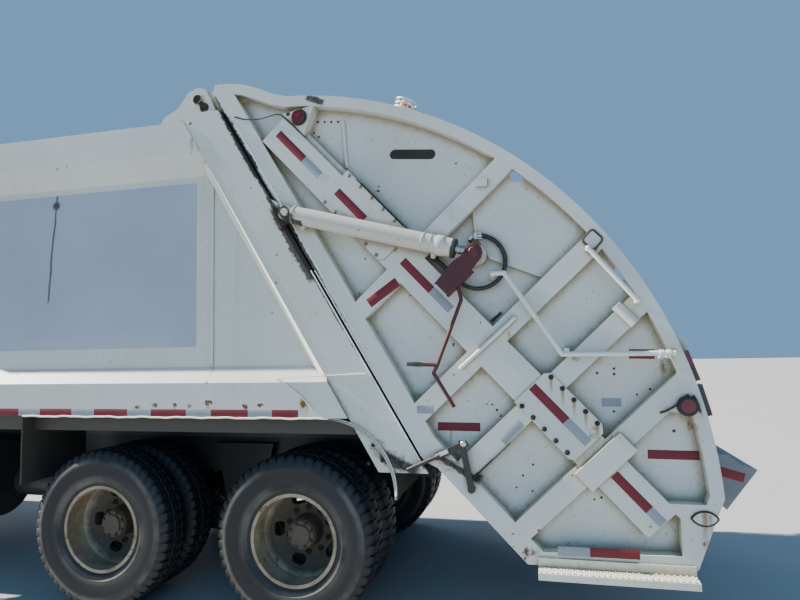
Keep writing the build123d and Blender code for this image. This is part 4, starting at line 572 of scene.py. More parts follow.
def reflective(name, colour, wear):
    """Reflective sheeting: tiny prisms under gloss, dulled and scratched, with the paint showing at chips."""
    material, place = new_material(name)
    cells = place.add("TexVoronoi", {"feature": "F1"}, {"Vector": place, "Scale": 260.0}, "Distance")
    broad = noise(place, 6.0, 4.0, 0.65)
    chips = noise(place, 42.0, 3.0, 0.6).step(0.74 - wear * 0.1, 0.77 - wear * 0.1)
    dark, pale = tuple(c * 0.72 for c in colour), tuple(min(1.0, c * 1.25) for c in colour)
    tone = (cells * 0.5 + broad * 0.6).tint(dark, pale)
    tone = (broad.step(0.50, 0.80) * 0.45 * wear).tint(tone, (0.26, 0.235, 0.20))
    tone = chips.tint(tone, (0.44, 0.42, 0.36))
    rough = 0.50 + broad * 0.20 + chips * 0.2
    return finish_with(material, place, tone, rough, cells * 0.4 + chips, 0.0004)


tape_red = reflective("tape_red", (0.150, 0.0035, 0.012), 0.12)
tape_silver = reflective("tape_silver", (0.25, 0.275, 0.31), 0.12)

SKIRT_TAPE_Z, TAPE_W = 1.305, 0.050
SKIRT_END, SKIRT_CHANGE, SKIRT_START = -0.055, 0.121, 0.286
SKIRT_TAPES, SKIRT_PITCH, RED_LEN = 9, 0.443, 0.262


def skirt_strip(low_x, high_x):
    """Tape along the skirt between two places."""
    return strip((low_x, SKIRT_TAPE_Z), (high_x, SKIRT_TAPE_Z), TAPE_W, SKIRT_Y)


red = [skirt_strip(SKIRT_END, SKIRT_CHANGE)]
silver = [skirt_strip(SKIRT_CHANGE, SKIRT_START)]
for step in range(SKIRT_TAPES):
    low_x = SKIRT_START + step * SKIRT_PITCH
    red.append(skirt_strip(low_x, low_x + RED_LEN))
    silver.append(skirt_strip(low_x + RED_LEN, low_x + SKIRT_PITCH))
make_piece("skirt_tape_red", both(red), "chassis", tape_red)
make_piece("skirt_tape_silver", both(silver), "chassis", tape_silver)

PANEL_X = (AXLE_X + 0.724, AXLE_X + 4.150)
PANEL_Z = (1.735, 2.858)


def vinyl_sheet():
    """Stuck-on sheet: a 60 x 24 grid over the side wall that swells by a few millimetre-high waves, sines of
    its length and height, and presses flat at its rounded rim."""
    u, v = spread(60, 24)
    x = PANEL_X[0] + u * (PANEL_X[1] - PANEL_X[0])
    z = PANEL_Z[0] + v * (PANEL_Z[1] - PANEL_Z[0])
    rim = np.minimum(1.0, 14.0 * np.minimum(np.minimum(u, 1.0 - u), np.minimum(v, 1.0 - v)))
    wave = 0.0016 * np.sin(9.0 * u + 3.0 * v) + 0.0012 * np.sin(23.0 * u - 7.0 * v)
    out = 0.0016 + rim * (0.0028 + wave)
    top = np.stack([x, BODY_WALL_Y + out, z], -1)
    return slab(top, np.stack([x, np.full_like(x, BODY_WALL_Y), z], -1))


def vinyl():
    """Glossy grey-blue vinyl, hazed by broad noise, with dark rub marks and a tarry drip from its top."""
    material, place = new_material("vinyl_grey_blue")
    broad = noise(place, 1.1, 4.0, 0.6)
    fine = noise(place, 48.0, 3.0, 0.6)
    tone = broad.step(0.35, 0.68).tint((0.33, 0.375, 0.47), (0.38, 0.42, 0.50))
    rubs = noise(place, 9.0, 4.0, 0.7, (1.0, 1.0, 2.4)).step(0.68, 0.74)
    rubs = rubs * noise(place, 1.6, 2.0).step(0.50, 0.60)
    tone = (rubs * 0.7).tint(tone, (0.10, 0.13, 0.24))
    x, y, z = place.split()
    bend = noise(place, 6.0, 2.0) * 0.03 - 0.015
    away = (x - (AXLE_X + 1.93) + (z - 2.06) * 0.078 + bend).absolute()
    drip = (1.0 - away.step(0.004, 0.012)) * z.step(2.05, 2.10)
    lump = ((x - (AXLE_X + 1.874)) ** 2.0 + (z - 2.785) ** 2.0).step(0.0002, 0.0018)
    stain = (drip * 0.85).most((1.0 - lump) * 0.95)
    tone = stain.tint(tone, (0.035, 0.030, 0.026))
    rough = 0.22 + broad * 0.14 + stain * 0.3 + rubs * 0.2
    return finish_with(material, place, tone, rough, broad * 0.7 + fine * 0.3, 0.0012)


make_piece("side_vinyl", both([vinyl_sheet()]), "chassis", vinyl(), 60.0)


def prism(outline, y_low, y_high):
    """Plate with a side outline of (x, z) points between two places across the truck."""
    flat = np.asarray(outline, float)
    count = len(flat)
    near = np.stack([flat[:, 0], np.full(count, y_low), flat[:, 1]], 1)
    ring = np.arange(count)
    after = np.roll(ring, -1)
    walls = np.stack([ring, after, after + count, ring + count], 1)
    far = near + (0.0, y_high - y_low, 0.0)
    return np.concatenate([near, far]), [ring[None], ring[None, ::-1] + count, walls]


def placed(points, y=None):
    """Points of (x, y, z), or of (x, z) at one y, with x counted from the rearmost axle."""
    return [(AXLE_X + point[0], point[1] if y is None else y, point[-1]) for point in points]


rusty_bolt = dusty_paint("rusty_bolt", (0.014, 0.010, 0.008), (0.075, 0.034, 0.016), 0.35, 0.7)
foot_bolts = placed([(-0.585, 1.03), (-0.53, 1.12), (-0.50, 1.01)], 1.195)
PIN_CAP = ((0.0, -0.004), (0.028, -0.004), (0.033, 0.002), (0.030, 0.006), (0.018, 0.003), (0.0, 0.002))
PINS_AT = placed([(0.686, 1.182, 3.420), (0.645, 1.162, 3.366)])
pin_ends = [turned(PIN_CAP, spot, (0, 1, 0), 24) for spot in PINS_AT]
pieces = [stamped(hex_bolt(0.011, (0, 1, 0)), foot_bolts)] + pin_ends
make_piece("body_bolts", both(pieces), "chassis", rusty_bolt, 40.0)


def pipe(path, radius, steps=12, steady=(0.0, 1.0, 0.0), closed=False):
    """Round bar along a path of points: rings square to the path, their first side square to a steady
    direction, with flat ends, or joined end to start when closed."""
    path = np.asarray(path, float)
    if closed:
        along = np.roll(path, -1, 0) - np.roll(path, 1, 0)
    else:
        along = np.gradient(path, axis=0)
    along /= np.linalg.norm(along, axis=1)[:, None]
    side = np.cross(along, steady)
    side /= np.linalg.norm(side, axis=1)[:, None]
    up = np.cross(side, along)
    turn = np.linspace(0.0, 2.0 * math.pi, steps, endpoint=False)[None, :, None]
    rings = path[:, None] + radius * (np.cos(turn) * side[:, None] + np.sin(turn) * up[:, None])
    if closed:
        return np.concatenate([rings, rings[:1]]), [grid_faces(len(path) + 1, steps, True)]
    ring = np.arange(steps)[None]
    return rings, [grid_faces(len(path), steps, True), ring[:, ::-1], ring + (len(path) - 1) * steps]


def rounded(corners, radius, steps=6):
    """Closed path through corner points, each corner cut to a curve: between the points one radius away along
    its two edges, the quadratic blend of both edges."""
    corners = np.asarray(corners, float)
    before, after = np.roll(corners, 1, 0) - corners, np.roll(corners, -1, 0) - corners
    before *= radius / np.linalg.norm(before, axis=1)[:, None]
    after *= radius / np.linalg.norm(after, axis=1)[:, None]
    t = np.linspace(0.0, 1.0, steps)[None, :, None]
    curve = corners[:, None] + before[:, None] * (1 - t) ** 2 + after[:, None] * t ** 2
    return curve.reshape(-1, 3)


JOINT_TILT = math.radians(59.8)
LIP_Y, BEND_R = 1.2230, 0.449


def joint_x(z):
    """Place of the slanted joint between load body and tailgate at a height."""
    return AXLE_X - 1.424 + z / math.tan(JOINT_TILT)


def post_flare():
    """Bent edge of the rear post: a folded sheet from the post's face down to the side sheet. One parameter
    runs up the post, the other across the fold."""
    up = np.linspace(0.0, 1.0, 40)[:, None]
    across = np.array((0.0, 0.04, 0.5, 0.96, 1.0))[None, :]
    y = 1.1950 - 0.0745 * across
    low, high = 1.6 - (y - 1.12), 2.965
    z = low + (high - low) * up
    x = joint_x(z) + 0.3030 + 0.074 * across
    face = np.stack([x, y + 0.0 * up, z], -1)
    return slab(face + (0.0, 0.0020, 0.0), face - (0.0, 0.0040, 0.0))


def skirt_lip():
    """Line of the skirt's bent lip: along its foot with a slight wave, two sines of the length, and then down
    a quarter circle at the rear fender, drawn in by a sine of the turn."""
    t = np.linspace(1.0, 0.0, 90)
    wave = 0.0022 * np.sin(47 * t) + 0.0014 * np.sin(113 * t)
    lip = np.stack([AXLE_X - 0.22 + 2.24 * t, LIP_Y + 0.0015 * np.sin(31 * t), 1.2775 + wave], -1)
    turn = np.linspace(0.0, math.pi / 2, 24)[1:]
    x = AXLE_X - 0.225 - BEND_R * np.sin(turn)
    bend = np.stack([x, LIP_Y - 0.024 * np.sin(2 * turn) ** 0.5, 0.83 + BEND_R * np.cos(turn)], -1)
    return np.concatenate([lip, bend])


GUSSET_TOP = ((0.086, 1.224, 1.526), (-0.10, 1.224, 1.534), (-0.22, 1.222, 1.538), (-0.24, 1.199, 1.539),
              (-0.495, 1.199, 1.549))
GUSSET_SIDE = ((0.086, 1.524), (0.030, 1.492), (-0.025, 1.453), (-0.066, 1.422), (-0.101, 1.390),
               (-0.130, 1.360), (-0.151, 1.333))
rear_edge = [(joint_x(z) + 0.0045, 1.1965, z) for z in np.linspace(2.20, 1.02, 12)]
# The post's fold, the skirt's lip, the rear edge and the gusset lines are painted near white: a painted
# highlight where light would catch these edges.
edges = [post_flare(), pipe(skirt_lip(), 0.0060, 8), pipe(rear_edge, 0.0042, 8)]
edges += [pipe(line, 0.0036, 8) for line in (placed(GUSSET_TOP), placed(GUSSET_SIDE, 1.224))]
edge_highlight_paint = aged_paint("painted_edge_highlight", (0.80, 0.79, 0.69), (0.86, 0.85, 0.78), 0.4)
make_piece("body_edges", both(edges), "chassis", edge_highlight_paint)

# Side tanks: the round fuel tank of sheet steel lies on two brackets outside the left rail. Two steel
# straps are drawn tight round it, and its cap stands on top.

FUEL_AT, FUEL_R = (AXLE_X + 3.300, 0.760, 0.740), 0.290
STRAP_R, STRAP_HALF, STRAPS_AT = FUEL_R + 0.004, 0.026, (2.930, 3.670)
BAND = ((FUEL_R, -STRAP_HALF), (STRAP_R, -STRAP_HALF), (STRAP_R, STRAP_HALF), (FUEL_R, STRAP_HALF),
        (FUEL_R, -STRAP_HALF))
straps = [turned(BAND, (AXLE_X + ahead, *FUEL_AT[1:]), (1, 0, 0), 64) for ahead in STRAPS_AT]
CAP = ((0.048, 0.0), (0.048, 0.022), (0.044, 0.030), (0.036, 0.032), (0.0, 0.032))
straps.append(turned(CAP, (AXLE_X + 3.75, FUEL_AT[1] + 0.07, FUEL_AT[2] + 0.278), (0, 0.24, 0.97), 24))
strap_steel = dusty_paint("strap_steel", (0.30, 0.30, 0.29), ROAD_DUST, 0.3, 0.35)
make_piece("tank_straps", straps, "chassis", strap_steel)

# Cab: a low steel cab that tilts forward, painted as the body but cleaner, with bonded glass, black
# rubber seals, a slatted grille over the cooler, and wipers, mirrors and lamps screwed on.

CAB_Y, CAB_FACE = 1.150, AXLE_X + 6.560
cab_cream = aged_paint("cab_cream", CREAM, CHALK, 0.7, 0.35, 0.5, 0.34)
dress("cab_shell door_left door_right", cab_cream)
trim = dusty_paint("cab_trim", (0.035, 0.035, 0.038), ROAD_DUST, 0.1, 0.55)
dress("cab_interior steering_wheel grille", trim)
dress("mirrors", dusty_paint("mirror_black", (0.028, 0.028, 0.030), ROAD_DUST, 0.15, 0.4))


def tinted_glass():
    """Dark green-grey glass, see-through, with a film of dust that thickens to its lower edge."""
    material, place = new_material("tinted_glass")
    film = noise(place, 3.0, 4.0, 0.6)
    x, y, z = place.split()
    dust = film.step(0.40, 0.75) * 0.35 + (1.0 - z.step(1.95, 2.25)) * 0.25
    tone = dust.tint((0.018, 0.026, 0.026), (0.20, 0.185, 0.16))
    return finish_with(material, place, tone, 0.04 + dust * 0.35, Alpha=0.62 + dust * 0.3)


dress("cab_glass door_glass_left door_glass_right", tinted_glass())
dress("cab_lamps", dusty_paint("lamp_amber", (0.55, 0.17, 0.012), ROAD_DUST, 0.12, 0.18))
dress("front_lamps", dusty_paint("lamp_bowl", (0.55, 0.55, 0.56), ROAD_DUST, 0.12, 0.2, Metallic=0.9))


def screen_x(z):
    """Place of the windscreen's outer face at a height: its plane leans back 145 mm in 920."""
    return CAB_FACE - 0.050 - (z - 1.950) * 0.1576 + 0.006


screen = [(screen_x(z), y, z) for y, z in ((-0.998, 2.062), (0.998, 2.062), (0.998, 2.778), (-0.998, 2.778))]
back_x = AXLE_X + 4.772
back = [(back_x, y, z) for y, z in ((-0.610, 2.060), (0.610, 2.060), (0.610, 2.590), (-0.610, 2.590))]
seals = [pipe(rounded(screen, 0.07), 0.014, 8, (1, 0, 0), True)]
seals.append(pipe(rounded(back, 0.06), 0.012, 8, (1, 0, 0), True))
divider = [(screen_x(z) + 0.004, 0.0, z) for z in (2.064, 2.42, 2.776)]
seals.append(pipe(divider, 0.012, 8))
seal_rubber = dusty_paint("seal_rubber", (0.016, 0.016, 0.017), ROAD_DUST, 0.25, 0.6)
make_piece("screen_seals", seals, "cab", seal_rubber)

WIPERS_AT = (-0.28, 0.72)
WIPER_ARM = (
    # away from the pivot, height, how far off the glass
    (0.0, 2.005, 0.020), (-0.052, 2.03, 0.040), (-0.286, 2.100, 0.014),
)
KNOB = ((0.024, -0.012), (0.024, 0.012), (0.014, 0.022), (0.0, 0.022))
wipers = []
for pivot in WIPERS_AT:
    arm = [(screen_x(z) + off, pivot + away, z) for away, z, off in WIPER_ARM]
    u = np.linspace(-0.30, 0.30, 9)
    blade_z = arm[-1][2] + 0.012 * np.cos(u * 5.0)
    blade = np.stack([screen_x(blade_z) + 0.004, arm[-1][1] + u, blade_z], -1)
    knob = turned(KNOB, arm[0], (0.98, 0, 0.16), 18)
    wipers += [pipe(arm, 0.007, 8, (0, 0.1, 1)), pipe(blade, 0.008, 6, (0, 0, 1)), knob]
make_piece("wipers", wipers, "cab", trim)

WINDOW = ((5.568, 1.928), (5.568, 2.642), (6.222, 2.642), (6.242, 2.050), (6.242, 1.928))
for side, name in ((1, "left"), (-1, "right")):
    seal = pipe(rounded(placed(WINDOW, side * (CAB_Y - 0.004)), 0.05), 0.011, 8, (0, 1, 0), True)
    make_piece("window_seal_" + name, [seal], "door_" + name, seal_rubber)


def cooler():
    """Radiator core behind the grille: a thin panel whose front is folded in fins, a triangle wave across
    crossed by tube rows, a sine of its height."""
    u, v = spread(181, 41, (-0.489, 0.489), (1.252, 1.688))
    fins = np.abs(np.mod(u * 92.0, 2.0) - 1.0) * 0.0016
    front = CAB_FACE - 0.0295 + 0.0012 + fins + 0.0006 * np.sin(v * 110.0)
    top = np.stack([front, u, v], -1)
    return slab(top, np.stack([np.full_like(u, CAB_FACE - 0.0298), u, v], -1))


cooler_fins = dusty_paint("cooler_fins", (0.03, 0.03, 0.03), ROAD_DUST, 0.5, 0.5)
make_piece("cooler", [cooler()], "cab", cooler_fins, 20.0)

HEAD_LAMPS = [(CAB_FACE + 0.039, y, 0.630) for y in (-0.875, -0.765, 0.765, 0.875)]
BEZEL = ((0.049, -0.012), (0.0535, -0.010), (0.0545, 0.0), (0.0525, 0.004), (0.048, 0.003), (0.049, -0.012))
LENS = ((0.0, 0.0005), (0.0485, 0.0005), (0.047, 0.005), (0.040, 0.010), (0.026, 0.0145), (0.010, 0.0165),
        (0.0, 0.0168))
bezels = [turned(BEZEL, spot, (1, 0, 0), 40) for spot in HEAD_LAMPS]
lenses = [turned(LENS, spot, (1, 0, 0), 40) for spot in HEAD_LAMPS]
bezel_chrome = dusty_paint("bezel_chrome", (0.62, 0.62, 0.62), ROAD_DUST, 0.1, 0.15, Metallic=1.0)
make_piece("lamp_bezels", bezels, "chassis", bezel_chrome)


def lens_glass():
    """Clear pressed lens: upright flutes as a bump, a little haze."""
    material, place = new_material("lens_glass")
    x, y, z = place.split()
    flutes = y.maths("SINE", y * 420.0) * 0.5 + z.maths("SINE", z * 160.0) * 0.2
    haze = noise(place, 25.0, 3.0)
    tone = haze.tint((0.62, 0.66, 0.68), (0.72, 0.72, 0.70))
    pressed = place.add("Bump", inputs={"Strength": 0.8, "Distance": 0.001, "Height": flutes})
    return finish_with(material, place, tone, 0.05 + haze * 0.12, Alpha=0.38 + haze * 0.1, Normal=pressed)


make_piece("lamp_lenses", lenses, "chassis", lens_glass())


def mirror_pane():
    """Mirror glass: a 9 x 13 grid on the housing's back, crowned by the product of two parabolas."""
    u, v = spread(9, 13, (1.270, 1.430), (2.112, 2.548))
    crown = 0.0022 * (1.0 - ((u - 1.35) / 0.08) ** 2) * (1.0 - ((v - 2.33) / 0.218) ** 2)
    seat = CAB_FACE - 0.1651
    return slab(np.stack([seat - 0.001 - crown, u, v], -1), np.stack([np.full_like(u, seat), u, v], -1))


silvered = dusty_paint("mirror_silver", (0.72, 0.74, 0.75), ROAD_DUST, 0.08, 0.04, Metallic=1.0)
make_piece("mirror_panes", both([mirror_pane()]), "cab", silvered, 60.0)

zinc = dusty_paint("zinc", (0.30, 0.30, 0.29), ROAD_DUST, 0.3, 0.4, Metallic=0.6)
ACROSS, UP = (0.710, 0.820, 0.930), (0.575, 0.686)
POCKET_SCREWS = [(CAB_FACE + 0.012, side * y, z) for side in (1, -1) for y in ACROSS for z in UP]
screws = stamped(hex_bolt(0.006, (1, 0, 0)), POCKET_SCREWS)
make_piece("pocket_screws", [screws], "chassis", zinc, 40.0)

# Tailgate: two recessed steel side plates in deep rims, braced across a slanted track and tied by tubes,
# with covers bolted over the track, reflective tape, and blind screws in the plates.

PLATE_FACE, RIM_FACE, COVER_FACE = 1.100, 1.190, 1.198
TRACK_TILT, TRACK_TOP = math.radians(47.0), (0.134, 3.162)


def on_track(along, off):
    """(x, z) at a distance down the track from its top and a distance out to its rear side."""
    x = TRACK_TOP[0] - along * math.cos(TRACK_TILT) - off * math.sin(TRACK_TILT)
    return x, TRACK_TOP[1] - along * math.sin(TRACK_TILT) + off * math.cos(TRACK_TILT)


REAR_ROW, HIGH_FRONT_ROW, LOW_FRONT_ROW, LOW_PITCH = 0.137, -0.090, -0.096, 0.0875
LOW_COVER_BOLTS = [on_track(2.375 + LOW_PITCH * n, REAR_ROW) for n in range(5)]
tail_cream = aged_paint("tail_cream", CREAM, CHALK, 1.8, 1.3, 1.7, patches=(
    (-1.800, 1.215, 0.05, 0.06, 1.0),
    (-2.334, 0.63, 0.04, 0.10, 1.1),
    (-1.45, 0.545, 0.10, 0.05, 1.1),
    (-2.32, 1.242, 0.040, 0.05, 1.2),
    (-1.845, 2.215, 0.07, 0.05, 1.0),
    (-1.72, 1.62, 0.05, 0.04, 0.7),
    (-1.00, 1.03, 0.12, 0.10, 0.7),
    (-2.20, 1.56, 0.05, 0.05, 0.9),
    # Along the tailgate's bottom edge this patch is rust and painted shade under the rounded edge.
    (-1.90, 0.50, 0.50, 0.035, 0.8),
    (-0.684, 2.318, 0.022, 0.030, 0.5),
), grease=(
    (0.545, 3.410, -0.842, 1.010, 0.022),
    (0.470, 3.280, 0.250, 2.900, 0.036),
    (0.060, 2.570, -0.030, 2.380, 0.042),
    (-0.125, 3.330, -0.220, 3.290, 0.028),
    (-0.930, 1.060, -1.150, 0.930, 0.035),
    (-0.450, 2.760, -0.745, 2.445, 0.007),
    (-1.255, 1.850, -1.310, 1.895, 0.014),
), drips=[(*bolt, 0.13, 0.014, 0.85) for bolt in LOW_COVER_BOLTS] + [
    (-2.344, 0.800, 0.22, 0.022, 0.9),
    (-2.370, 0.790, 0.15, 0.012, 0.7),
    (-1.360, 1.780, 0.13, 0.012, 0.6),
    (-2.190, 1.600, 0.16, 0.014, 0.6),
    (-2.310, 1.262, 0.07, 0.012, 0.8),
    (-0.990, 1.200, 0.14, 0.012, 0.5),
])
dress("tailgate_sides tailgate_cover", tail_cream)

TRACK_TAPES = (
    # red from, red to, silver to, off the track's middle, face: distances down the track
    (0.068, 0.327, 0.486, 0.005, RIM_FACE),
    (0.650, 0.913, 0.913, 0.012, COVER_FACE),
    (1.274, 1.529, 1.696, 0.000, RIM_FACE),
    (2.340, 2.603, 2.768, 0.024, COVER_FACE),
    (2.979, 3.230, 3.325, 0.005, RIM_FACE),
)
FLAT_TAPES = (
    # from (x, z) and to (x, z) behind the rearmost axle, width, face, red
    ((-0.912, 1.224), (-1.167, 1.222), 0.050, PLATE_FACE, True),
    ((-2.091, 1.084), (-2.355, 1.082), 0.050, PLATE_FACE, True),
    ((-2.019, 1.641), (-2.154, 1.637), 0.054, PLATE_FACE, True),
    ((-1.756, 0.563), (-2.013, 0.565), 0.050, RIM_FACE, True),
    ((-1.586, 0.561), (-1.756, 0.563), 0.050, RIM_FACE, False),
    ((-2.440, 1.012), (-2.556, 0.978), 0.048, 1.150, True),
    ((-0.700, 2.104), (-0.515, 1.977), 0.060, RIM_FACE, True),
    ((-0.804, 1.332), (-0.904, 1.333), 0.046, RIM_FACE, False),
    ((-1.410, 1.262), (-1.299, 1.154), 0.052, RIM_FACE, False),
    ((-1.860, 1.369), (-1.965, 1.369), 0.048, PLATE_FACE, False),
)
SILL = ((-2.6215, 1.020), (-2.4645, 0.812))
SILL_TAPES, SILL_LEN, SILL_HALF, SILL_DOWN, SILL_TAPE_HALF = 9, 0.240, 1.080, 0.075, 0.026
red, silver = [], []
for start, turn_to, end, off, face in TRACK_TAPES:
    red.append(strip(on_track(start, off), on_track(turn_to, off), 0.052, face))
    if end > turn_to:
        silver.append(strip(on_track(turn_to, off), on_track(end, off), 0.052, face))
for start, end, width, face, is_red in FLAT_TAPES:
    (red if is_red else silver).append(strip(start, end, width, face))
red, silver = both(red), both(silver)
(high_x, high_z), (low_x, low_z) = SILL
slope = np.array((low_x - high_x, 0.0, low_z - high_z))
slope /= np.linalg.norm(slope)
for step in range(SILL_TAPES):
    near = -SILL_HALF + step * SILL_LEN
    on_sill = np.array((AXLE_X + high_x, near, high_z)) + slope * SILL_DOWN
    far = on_sill + (0.0, SILL_LEN, 0.0)
    band = tape(on_sill, far, slope * SILL_TAPE_HALF, (slope[2], 0.0, -slope[0]))
    (silver if step % 2 else red).append(band)
make_piece("tail_tape_red", red, "tailgate", tape_red)
make_piece("tail_tape_silver", silver, "tailgate", tape_silver)

clean_bolts = [on_track(0.640 + 0.105 * n, REAR_ROW) for n in range(5)]
clean_bolts += [on_track(0.640 + 0.098 * n, HIGH_FRONT_ROW) for n in range(6)]
rusty_bolts = LOW_COVER_BOLTS + [on_track(2.380 + LOW_PITCH * n, LOW_FRONT_ROW) for n in range(5)]
bolt_cream = dusty_paint("bolt_cream", (0.20, 0.17, 0.125), (0.10, 0.065, 0.035), 0.4, 0.6)
bolts = stamped(hex_bolt(0.0105, (0, 1, 0)), placed(clean_bolts, COVER_FACE))
make_piece("cover_bolts", both([bolts]), "tailgate", bolt_cream, 40.0)
bolts = stamped(hex_bolt(0.0125, (0, 1, 0)), placed(rusty_bolts, COVER_FACE))
make_piece("cover_bolts_rusty", both([bolts]), "tailgate", rusty_bolt, 40.0)

SCREWS = (
    # place behind the rearmost axle, size: rusty screws, and near-black plugs as painted shade for blind
    # holes, in the recessed plate
    (-0.158, 3.198, 0.011), (-0.205, 3.193, 0.011), (-0.251, 3.188, 0.011), (-0.298, 3.183, 0.011),
    (-0.129, 3.127, 0.010), (-0.164, 3.096, 0.010), (-1.657, 1.564, 0.009), (-1.842, 1.535, 0.010),
    (-1.935, 1.559, 0.010), (-1.934, 1.528, 0.011), (-2.121, 1.443, 0.009), (-2.051, 1.413, 0.008),
    (-1.924, 1.318, 0.009), (-2.014, 1.299, 0.008), (-2.233, 1.213, 0.012), (-2.346, 1.241, 0.011),
    (-1.835, 0.838, 0.010), (-1.797, 0.826, 0.008), (-1.456, 0.861, 0.008), (-1.406, 0.947, 0.009),
    (-1.366, 0.878, 0.008), (-1.465, 1.011, 0.009), (-1.210, 1.358, 0.007), (-1.240, 1.355, 0.008),
    (-1.268, 1.323, 0.010), (-1.290, 1.288, 0.008), (-2.300, 1.300, 0.007), (-1.560, 0.780, 0.008),
)
plug = turned([(1.0, -0.1), (1.0, 0.12), (0.7, 0.22), (0.0, 0.16)], (0, 0, 0), (0, 1, 0), 10)
plugs = [(plug[0] * size * 0.75 + (AXLE_X + x, PLATE_FACE, z), plug[1]) for x, z, size in SCREWS]
# Near black: rusty screws, and painted shade standing for the blind holes.
screws_and_hole_shade = dusty_paint("screws_and_hole_shade", (0.03, 0.022, 0.018), (0.09, 0.05, 0.03), 0.4, 0.6)
make_piece("blind_screws", both(plugs), "tailgate", screws_and_hole_shade)

front_lip = [(joint_x(z) - 0.0195, 1.1910, z) for z in np.linspace(2.20, 1.06, 12)]
flange_fold = [(joint_x(z) - 0.048, 1.1905, z) for z in np.linspace(3.20, 1.69, 12)]
flange_fold.append((AXLE_X - 0.520, 1.1905, 1.690))
folds = [pipe(front_lip, 0.0040, 8), pipe(flange_fold, 0.0036, 8)]
mark = strip((-0.662, 2.330), (-0.698, 2.296), 0.030, RIM_FACE)
mark_yellow = dusty_paint("mark_yellow", (0.36, 0.40, 0.03), (0.18, 0.16, 0.08), 0.4)
make_piece("paint_mark", [mark], "tailgate", mark_yellow)
# The tailgate's front lip and flange fold wear the same near-white painted highlight.
make_piece("tail_edges", both(folds), "tailgate", edge_highlight_paint)

# Tail lamps: red round lamps in black rubber grommets, wired along the plate, and box lamps on the rear
# arc. Two covers are sealed round their rims with a bead that has since gone brown.

LAMPS_AT = ((-0.065, 3.203), (-2.291, 1.359))
RING = ((0.0383, 0.0), (0.0383, 0.022), (0.041, 0.0245), (0.047, 0.023), (0.0535, 0.013), (0.0550, 0.0),
        (0.0383, 0.0))
UP_WIRE = ((-2.150, 1.322), (-2.181, 1.332), (-2.211, 1.348), (-2.232, 1.362), (-2.253, 1.381),
           (-2.274, 1.402), (-2.298, 1.420))
DOWN_WIRE = ((-2.322, 1.415), (-2.333, 1.395), (-2.344, 1.362), (-2.352, 1.325))
TOP_WIRE = ((0.400, 1.192, 3.262), (0.340, 1.192, 3.240), (0.287, 1.188, 3.231), (0.240, 1.188, 3.228),
            (0.200, 1.190, 3.229), (0.150, 1.198, 3.234), (0.102, 1.201, 3.241), (0.062, 1.201, 3.236),
            (0.028, 1.201, 3.204), (-0.004, 1.2005, 3.173), (-0.036, 1.199, 3.142), (-0.066, 1.196, 3.112))
FOOT_WIRE = ((-1.108, 1.196, 0.925), (-1.160, 1.196, 0.972), (-1.220, 1.1955, 1.029),
             (-1.290, 1.1955, 1.094), (-1.345, 1.194, 1.146))
CLIP = ((-0.128, 3.296), (-0.150, 3.285), (-0.136, 3.258), (-0.122, 3.236), (-0.108, 3.216))
PLUG = ((0.0, 0.0), (0.013, 0.0), (0.013, 0.003), (0.009, 0.004), (0.0, 0.003))
grommets = [turned(RING, spot, (0, 1, 0), 40) for spot in placed(LAMPS_AT, COVER_FACE)]
grommets += [pipe(placed(run, COVER_FACE + 0.003), 0.005, 8) for run in (UP_WIRE, DOWN_WIRE)]
grommets += [pipe(placed(run), 0.0045, 8) for run in (TOP_WIRE, FOOT_WIRE)]
grommets.append(turned(PLUG, (AXLE_X + 0.012, COVER_FACE, 3.235), (0, 1, 0), 16))
grommets.append(pipe(placed(CLIP, 1.112), 0.011, 10))
make_piece("lamp_grommets", both(grommets), "tailgate", seal_rubber)

DIAMOND = ((-1.844, 2.353), (-1.786, 2.290), (-1.844, 2.227), (-1.902, 2.290))
OVAL_AT, OVAL_HALF = (-2.345, 0.770), 0.0657


def oval():
    """Edge of the oval cover: its upper arc, a root of the distance from the middle, and the same arc turned
    over below it."""
    t = np.linspace(-0.995, 0.995, 10)
    rise = 0.078 * np.sqrt(1.0 - 0.71 * t * t) - 0.042
    halves = [np.stack([OVAL_AT[0] + way * OVAL_HALF * t, OVAL_AT[1] + way * rise], -1) for way in (1, -1)]
    return np.concatenate(halves)


beads = [pipe(rounded(placed(DIAMOND, RIM_FACE + 0.005), 0.022, 5), 0.0070, 8, (0, 1, 0), True)]
beads.append(pipe(placed(oval(), RIM_FACE + 0.003), 0.0065, 8, (0, 1, 0), True))
bead_brown = dusty_paint("bead_brown", (0.030, 0.020, 0.014), (0.12, 0.06, 0.03), 0.4, 0.6)
make_piece("cover_beads", both(beads), "tailgate", bead_brown)

ARC_X, ARC_Z = AXLE_X + 0.177, 0.736


def lens_plastic(name):
    """New lens plastic: its material, its places, the prisms moulded in it and how it has bleached."""
    material, place = new_material(name)
    prisms = place.add("TexVoronoi", {"feature": "F1"}, {"Vector": place, "Scale": 130.0}, "Distance")
    return material, place, prisms, noise(place, 14.0, 3.0)


def lamp_red():
    """Dark red lens plastic, glossy. The box lamps on the rear arc have black housings and show red on their
    outer face, and all over near the top one's upper end."""
    material, place, prisms, bleach = lens_plastic("lamp_red")
    x, y, z = place.split()
    out = ((x - ARC_X) ** 2.0 + (z - ARC_Z) ** 2.0) ** 0.5
    lens = out.step(2.6465, 2.6475)
    lens = lens.most(z.step(1.578, 1.580))
    lens = lens.most(1.0 - out.step(2.620, 2.625))
    red_tone = bleach.step(0.35, 0.75).tint((0.105, 0.004, 0.010), (0.17, 0.012, 0.016))
    tone = lens.tint((0.016, 0.016, 0.017), red_tone)
    return finish_with(material, place, tone, 0.12 + bleach * 0.2, prisms, 0.0008)


dress("tail_lamps", lamp_red())

# Beacons: an orange plastic dome in a white round steel guard, screwed on the tailgate's arc above each
# side's rim.

